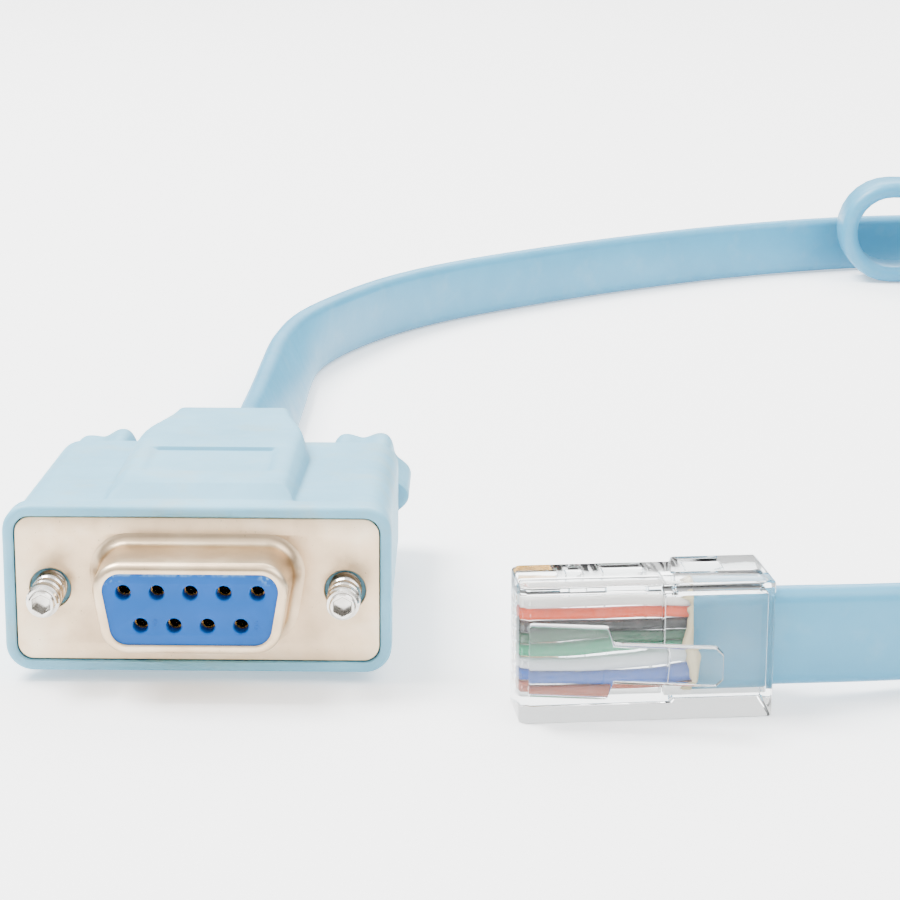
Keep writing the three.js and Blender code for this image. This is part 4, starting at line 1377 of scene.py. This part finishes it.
@dataclass
class ThumbScrew:
    """Jackscrew with a cut thread and a hexagon socket in its tip, and its moulded thumb knob."""

    side: Side
    spacing: float = 24.99
    reach: float = 4.75
    thread_radius: float = 1.42
    thread_depth: float = 0.3
    thread_pitch: float = 0.635
    thread_turns: float = 9.0
    socket_flats: float = 1.45
    socket_depth: float = 1.1
    knob_start: float = 30.3
    knob_radius: float = 4.6
    knob_flute: float = 0.9
    knob_lobes: int = 6
    knob_length: float = 12.0
    knob_edge: float = 3.2
    lobe_left: float = 72.0
    lobe_right: float = 62.0
    shank_in_knob: float = 8.0
    thread_start: float = 0.45

    def build(self) -> None:
        """Build the screw and its knob."""
        word = self.side.name.lower()
        body = Body.LEFT_SCREW if self.side is Side.LEFT else Body.RIGHT_SCREW
        x = self.side.value * self.spacing / 2
        core = mesh_object(f"screw_core_{word}", *self.core(x), STEEL)
        core.data.set_sharp_from_angle(angle=math.radians(35))
        seat(core, body, "bright_steel", f"jackscrew_{word}")
        seat(self.thread(x, word), body, "bright_steel", f"jackscrew_{word}")
        knob = mesh_object(f"knob_{word}", *loft(self.lobed(x)), HOOD_VINYL)
        knob.data.set_sharp_from_angle(angle=math.radians(50))
        seat(knob, body, "hood_vinyl", f"thumb_knob_{word}")

    def core(self, x: float) -> tuple[list, list]:
        """Rings of the screw's core, from the bottom of its socket round to the far end.

        Args:
            x: Where the screw is.

        Returns:
            Points and faces.
        """
        segments = 48
        turns = [2 * math.pi * k / segments for k in range(segments)]
        flats = self.socket_flats / 2
        root = self.thread_radius - self.thread_depth
        rings = []
        for share, y in ((0.02, self.socket_depth), (1.0, self.socket_depth), (1.0, 0.06), (1.06, 0.0)):
            rings.append([
                (x + r * math.cos(t), PLATE_Y - self.reach + y, AXIS_Z + r * math.sin(t))
                for t in turns
                for r in [share * flats / math.cos((t + math.pi / 6) % (math.pi / 3) - math.pi / 6)]
            ])
        end = self.knob_start + self.shank_in_knob
        profile = [(root - 0.12, -self.reach), (root, -self.reach + 0.12), (root, end), (0.05, end)]
        rings += turned_rings(profile, x, AXIS_Z, segments)
        return loft(rings)

    def thread(self, x: float, word: str) -> Piece:
        """Sweep the thread's ridge along its helix with geometry nodes.

        Args:
            x: Where the screw is.
            word: Side's name for the piece.

        Returns:
            The ridge.
        """
        name = f"screw_thread_{word}"
        host = bpy.data.objects.new(name, bpy.data.meshes.new(name))
        bpy.context.scene.collection.objects.link(host)
        tree = bpy.data.node_groups.new("helical_ridge", "GeometryNodeTree")
        tree.interface.new_socket("Geometry", in_out="OUTPUT", socket_type="NodeSocketGeometry")
        sizes = {
            "Turns": self.thread_turns, "Root": (self.thread_radius - self.thread_depth) * MM,
            "Ridge": self.thread_depth * MM, "Rise": self.thread_turns * self.thread_pitch * MM,
        }
        for label in sizes:
            tree.interface.new_socket(label, in_out="INPUT", socket_type="NodeSocketFloat")
        given = add_node(tree, "NodeGroupInput")
        helix = add_node(
            tree, "GeometryNodeCurveSpiral", resolution=36, rotations=given.outputs["Turns"],
            start_radius=given.outputs["Root"], end_radius=given.outputs["Root"], height=given.outputs["Rise"],
        )
        section = add_node(tree, "GeometryNodeCurvePrimitiveCircle", mode="RADIUS", resolution=6,
                           radius=given.outputs["Ridge"])
        sweep = add_node(tree, "GeometryNodeCurveToMesh", curve=helix.outputs["Curve"],
                         profile_curve=section.outputs["Curve"], fill_caps=True)
        real = add_node(tree, "GeometryNodeRealizeInstances", geometry=sweep.outputs["Mesh"])
        painted = add_node(tree, "GeometryNodeSetMaterial", geometry=real.outputs["Geometry"],
                           material=STEEL.material())
        add_node(tree, "NodeGroupOutput", geometry=painted.outputs["Geometry"])
        turned_mesh = evaluated_mesh(host, tree, sizes)
        turned_mesh.transform(Matrix.Rotation(-math.pi / 2, 4, "X"))
        turned_mesh.transform(Matrix.Translation((x * MM, (PLATE_Y - self.reach + self.thread_start) * MM, AXIS_Z * MM)))
        host.data = turned_mesh
        turned_mesh.shade_flat()
        return host

    def lobed(self, x: float) -> list[list[tuple[float, float, float]]]:
        """Rings of the knob: its profile turned about the screw's line, drawn in between six round lobes.

        Args:
            x: Where the screw is.

        Returns:
            The rings.
        """
        lobe_at = math.radians(self.lobe_left if self.side is Side.LEFT else self.lobe_right)
        rings = []
        for radius, y in self.knob_profile():
            ring = []
            for k in range(96):
                turn = 2 * math.pi * k / 96
                limit = self.knob_radius - self.knob_flute / 2 * (1 - math.cos(self.knob_lobes * (turn - lobe_at)))
                reach = radius * limit / self.knob_radius
                ring.append((x + reach * math.cos(turn), PLATE_Y + y, AXIS_Z + reach * math.sin(turn)))
            rings.append(ring)
        return rings

    def knob_profile(self) -> list[tuple[float, float]]:
        """Radius and distance behind the plate along the knob, from its chamfered front to its rounded far end.

        Returns:
            The profile.
        """
        end = self.knob_start + self.knob_length
        profile = [(0.05, self.knob_start), (self.knob_radius - 0.3, self.knob_start)]
        profile += [(self.knob_radius - 0.06, self.knob_start + 0.1), (self.knob_radius, self.knob_start + 0.35)]
        profile += [(self.knob_radius, self.knob_start + d) for d in (2.0, 4.0, 6.0, 7.5)]
        for k in range(9):
            turn = math.pi / 2 * k / 8
            profile.append((
                self.knob_radius - self.knob_edge * (1 - math.cos(turn)),
                end - self.knob_edge * (1 - math.sin(turn)),
            ))
        return [*profile, (0.05, end)]


def evaluated_mesh(
    host: Piece, tree: Tree, inputs: dict[str, object]
) -> Mesh:
    """Run geometry nodes on an object and return the mesh they make.

    Args:
        host: Object that carries the nodes for a moment.
        tree: Node tree.
        inputs: Values of its named inputs.

    Returns:
        The new mesh.
    """
    modifier = host.modifiers.new("nodes", "NODES")
    modifier.node_group = tree
    for item in tree.interface.items_tree:
        if item.in_out == "INPUT" and item.name in inputs:
            modifier[item.identifier] = inputs[item.name]
    bpy.context.view_layer.update()
    mesh = bpy.data.meshes.new_from_object(host.evaluated_get(bpy.context.evaluated_depsgraph_get()))
    host.modifiers.remove(modifier)
    return mesh


# Modular plug


@dataclass
class ModularPlug:
    """Clear eight-way plug on its narrow side, with its blades, wires and latch."""

    length: float = 21.02
    width: float = 11.68
    nose_thick: float = 6.6
    rear_thick: float = 8.0
    nose_length: float = 13.66
    bevel: float = 0.45
    place: tuple[float, float, float] = (27.137, -28.298, 0.0)
    turn: float = math.radians(6.8)
    wire_pitch: float = 1.02
    wire_radius: float = 0.47
    wire_depth: float = 3.8
    wire_start: float = 1.1
    jacket_in: float = 6.6
    pocket_length: float = 8.9
    latch_root: float = 0.76
    latch_gap: float = 0.3
    latch_thick: float = 1.1
    latch_wide: float = 6.0
    latch_wide_length: float = 6.3
    latch_narrow: float = 3.25
    latch_length: float = 15.6
    latch_rise: float = math.radians(11.5)

    def build(self) -> list[Piece]:
        """Build the plug's pieces.

        Returns:
            The pieces that sit on the lead's end.
        """
        pieces = [self.shell(), self.latch(), *self.wires(), self.torn_edge()]
        for number in range(1, 9):
            carry_over(f"plug_blade_{number}", GOLD)
        return pieces

    def to_frame(self, point: Sequence[float]) -> tuple[float, float, float]:
        """Turn a point of the plug into the part frame.

        Args:
            point: From the nose, from the latch side, and up, in millimetres.

        Returns:
            The point in the part frame.
        """
        x, y, z = point
        c, s = math.cos(self.turn), math.sin(self.turn)
        return (self.place[0] + x * c - y * s, self.place[1] + x * s + y * c, self.place[2] + z)

    def rounded_prism(
        self, outline: Sequence[tuple[float, float]], low: float, high: float, edge: float,
        move: Callable[[Sequence[float]], Sequence[float]], inward: bool = False,
    ) -> bmesh.types.BMesh:
        """Upright prism with all its edges rounded.

        Args:
            outline: Outline from above.
            low: Bottom.
            high: Top.
            edge: Radius of the edges.
            move: Turns its points into the part frame.
            inward: Whether it is a hollow, its faces turned inwards.

        Returns:
            A new bmesh in millimetres.
        """
        work = bmesh.new()
        bottom = [work.verts.new((x, y, low)) for x, y in outline]
        top = [work.verts.new((x, y, high)) for x, y in outline]
        work.faces.new(bottom)
        work.faces.new(top)
        for k in range(len(outline)):
            after = (k + 1) % len(outline)
            work.faces.new((bottom[k], bottom[after], top[after], top[k]))
        bmesh.ops.recalc_face_normals(work, faces=work.faces)
        if edge > 0:
            bmesh.ops.bevel(
                work, geom=list(work.edges), offset=edge, segments=3, profile=0.5, affect="EDGES", clamp_overlap=True
            )
        for vert in work.verts:
            vert.co = Vector(move(vert.co))
        bmesh.ops.recalc_face_normals(work, faces=work.faces)
        if inward:
            bmesh.ops.reverse_faces(work, faces=work.faces)
        return work

    def joined(self, name: str, parts: Sequence[bmesh.types.BMesh], finish: Finish) -> Piece:
        """Join several shapes into one object.

        Args:
            name: Name of the piece.
            parts: Shapes in millimetres.
            finish: Its finish.

        Returns:
            The new object.
        """
        mesh = bpy.data.meshes.new(name)
        whole = bmesh.new()
        for part in parts:
            scratch = bpy.data.meshes.new("scratch")
            part.to_mesh(scratch)
            whole.from_mesh(scratch)
            bpy.data.meshes.remove(scratch)
            part.free()
        bmesh.ops.scale(whole, vec=(MM, MM, MM), verts=whole.verts)
        whole.to_mesh(mesh)
        whole.free()
        piece = bpy.data.objects.new(name, mesh)
        bpy.context.scene.collection.objects.link(piece)
        mesh.materials.append(finish.material())
        mesh.shade_smooth()
        mesh.set_sharp_from_angle(angle=math.radians(45))
        return piece

    def shell(self) -> Piece:
        """Clear stepped body with its hollows.

        Returns:
            The body.
        """
        nose, rear, split = self.nose_thick, self.rear_thick, self.nose_length
        outline = [
            (0.6, 0), (self.length, 0), (self.length, rear), (split, rear), (split - 0.4, nose), (0.6, nose),
            (0, nose - 0.6), (0, 0.6),
        ]
        middle = self.width / 2
        parts = [self.rounded_prism(outline, 0, self.width, self.bevel * 0.6, self.to_frame)]

        def hollow(x0: float, x1: float, y0: float, y1: float, half: float, edge: float) -> None:
            """Add a box-shaped hollow.

            Args:
                x0: Start, from the nose.
                x1: End.
                y0: Side nearer the latch.
                y1: Side away from it.
                half: Half its height, about the plug's middle.
                edge: Radius of its edges.
            """
            box = [(x0, y0), (x1, y0), (x1, y1), (x0, y1)]
            parts.append(self.rounded_prism(box, middle - half, middle + half, edge, self.to_frame, True))

        hollow(self.wire_start - 0.4, self.length - self.pocket_length, 3.15, 4.45, 4.25, 0.1)
        hollow(self.length - self.pocket_length + 0.05, self.length - 0.25, 2.2, 5.4, 4.25, 0.2)
        hollow(4.6, 6.1, 4.9, nose - 0.25, 4.3, 0.12)
        hollow(7.6, 11.2, 4.9, nose - 0.25, 4.6, 0.15)
        hollow(14.6, 17.9, 5.8, rear - 0.3, 4.2, 0.15)
        for k in range(8):
            z = middle + (k - 3.5) * self.wire_pitch
            box = [(0.75, 4.6), (4.05, 4.6), (4.05, nose - 0.18), (0.75, nose - 0.18)]
            parts.append(self.rounded_prism(box, z - 0.26, z + 0.26, 0.04, self.to_frame, True))
        body = self.joined("plug_shell", parts, CLEAR)
        return seat(body, Body.CABLE, "clear_plastic", "plug_body")

    def latch(self) -> Piece:
        """Clear latch tongue, wide at its root and narrow at its rounded tip.

        Returns:
            The latch.
        """
        wide, narrow = self.latch_wide / 2, self.latch_narrow / 2
        start, end = self.latch_wide_length, self.latch_length
        shape = [(0.0, -wide), (start, -wide), (start + 0.5, -narrow), (end - 0.6, -narrow), (end, -narrow + 0.6),
                 (end, narrow - 0.6), (end - 0.6, narrow), (start + 0.5, narrow), (start, wide), (0.0, wide)]

        def move(point: Sequence[float]) -> Sequence[float]:
            """Tilt the tongue off the plug's face.

            Args:
                point: Along the tongue, across it, and through its thickness.

            Returns:
                The point in the part frame.
            """
            along, up, out = point
            c, s = math.cos(self.latch_rise), math.sin(self.latch_rise)
            return self.to_frame((
                self.latch_root + along * c - out * s, -self.latch_gap - along * s - out * c, self.width / 2 + up
            ))

        tongue = self.rounded_prism(shape, 0, self.latch_thick, 0.16, move)
        piece = self.joined("plug_tongue", [tongue], CLEAR)
        return seat(piece, Body.LATCH, "clear_plastic", "plug_latch")

    def wires(self) -> list[Piece]:
        """Eight wires, sweeping a round section along each one's line with geometry nodes.

        Returns:
            The wires.
        """
        tree = bpy.data.node_groups.new("wire_sweep", "GeometryNodeTree")
        tree.interface.new_socket("Geometry", in_out="OUTPUT", socket_type="NodeSocketGeometry")
        tree.interface.new_socket("Geometry", in_out="INPUT", socket_type="NodeSocketGeometry")
        tree.interface.new_socket("Radius", in_out="INPUT", socket_type="NodeSocketFloat")
        tree.interface.new_socket("Insulation", in_out="INPUT", socket_type="NodeSocketMaterial")
        given = add_node(tree, "NodeGroupInput")
        line = add_node(tree, "GeometryNodeMeshToCurve", mesh=given.outputs["Geometry"])
        section = add_node(tree, "GeometryNodeCurvePrimitiveCircle", mode="RADIUS", resolution=20,
                           radius=given.outputs["Radius"])
        sweep = add_node(tree, "GeometryNodeCurveToMesh", curve=line.outputs["Curve"],
                         profile_curve=section.outputs["Curve"], fill_caps=True)
        real = add_node(tree, "GeometryNodeRealizeInstances", geometry=sweep.outputs["Mesh"])
        painted = add_node(tree, "GeometryNodeSetMaterial", geometry=real.outputs["Geometry"],
                           material=given.outputs["Insulation"])
        add_node(tree, "NodeGroupOutput", geometry=painted.outputs["Geometry"])
        made = []
        end = self.length - self.jacket_in + 1.5
        for k, finish in enumerate(WIRE_FINISHES):
            z = self.width / 2 + (k - 3.5) * self.wire_pitch
            line_points = []
            for step in range(25):
                share = step / 24
                x = self.wire_start + 0.2 + (end - self.wire_start - 0.2) * share
                squeeze = 1 - 0.08 * smooth_step((share - 0.55) / 0.45)
                wave = 0.07 * math.sin(4.3 * share + 1.7 * k) * math.sin(math.pi * share)
                depth = self.wire_depth + 0.06 * math.sin(3.1 * share + 2.3 * k)
                line_points.append(self.to_frame((x, depth, self.width / 2 + (z - self.width / 2) * squeeze + wave)))
            name = f"plug_conductor_{k + 1}"
            mesh = bpy.data.meshes.new(name)
            mesh.from_pydata([tuple(c * MM for c in p) for p in line_points], [(i, i + 1) for i in range(24)], [])
            wire = bpy.data.objects.new(name, mesh)
            bpy.context.scene.collection.objects.link(wire)
            wire.data = evaluated_mesh(
                wire, tree, {"Radius": self.wire_radius * MM, "Insulation": finish.material()}
            )
            wire.data.shade_smooth()
            wire.data.set_sharp_from_angle(angle=math.radians(50))
            slot = "wire_" + finish.name.rsplit("_", 1)[1]
            made.append(seat(wire, Body.CABLE, slot, f"plug_wire_{k + 1}"))
        return made

    def torn_edge(self) -> Piece:
        """Ragged pale rim where the jacket was torn back inside the plug.

        Returns:
            The rim.
        """
        start = self.length - self.jacket_in
        rings = []
        count = 60
        for along in (0.25, 0.0, -0.35, -0.1, 0.25):
            ring = []
            for k in range(count):
                turn = 2 * math.pi * k / count
                ragged = 0.28 * math.sin(5 * turn + 1.1) + 0.2 * math.sin(11 * turn + 0.4) + 0.12 * math.sin(23 * turn)
                thick = 1.27 if along > -0.2 else 1.12
                thick = 0.95 if along == -0.1 else thick
                out = thick * math.copysign(abs(math.cos(turn)) ** 0.6, math.cos(turn))
                up = (3.0 + thick) * math.copysign(abs(math.sin(turn)) ** 0.45, math.sin(turn))
                shift = along + (ragged if along < 0.2 else 0.0)
                ring.append(self.to_frame((start + shift - 0.05, self.wire_depth + out, self.width / 2 + up)))
            rings.append(ring)
        rim = mesh_object("jacket_tear", *loft(rings, closed=True), TORN)
        return seat(rim, Body.CABLE, "lead_vinyl")


def save_sizes() -> None:
    bpy.context.view_layer.update()


def main() -> None:
    """Build the scene in order, from the camera and the lead to the plug."""
    logging.basicConfig(level=logging.INFO, format="%(message)s")
    Studio().build()
    lead = FlatLead()
    ribbon = lead.build()
    Hood().build()
    MatingFace().build()
    for side in Side:
        ThumbScrew(side).build()
    on_the_end = ModularPlug().build()
    save_sizes()


if __name__ == "__main__":
    main()
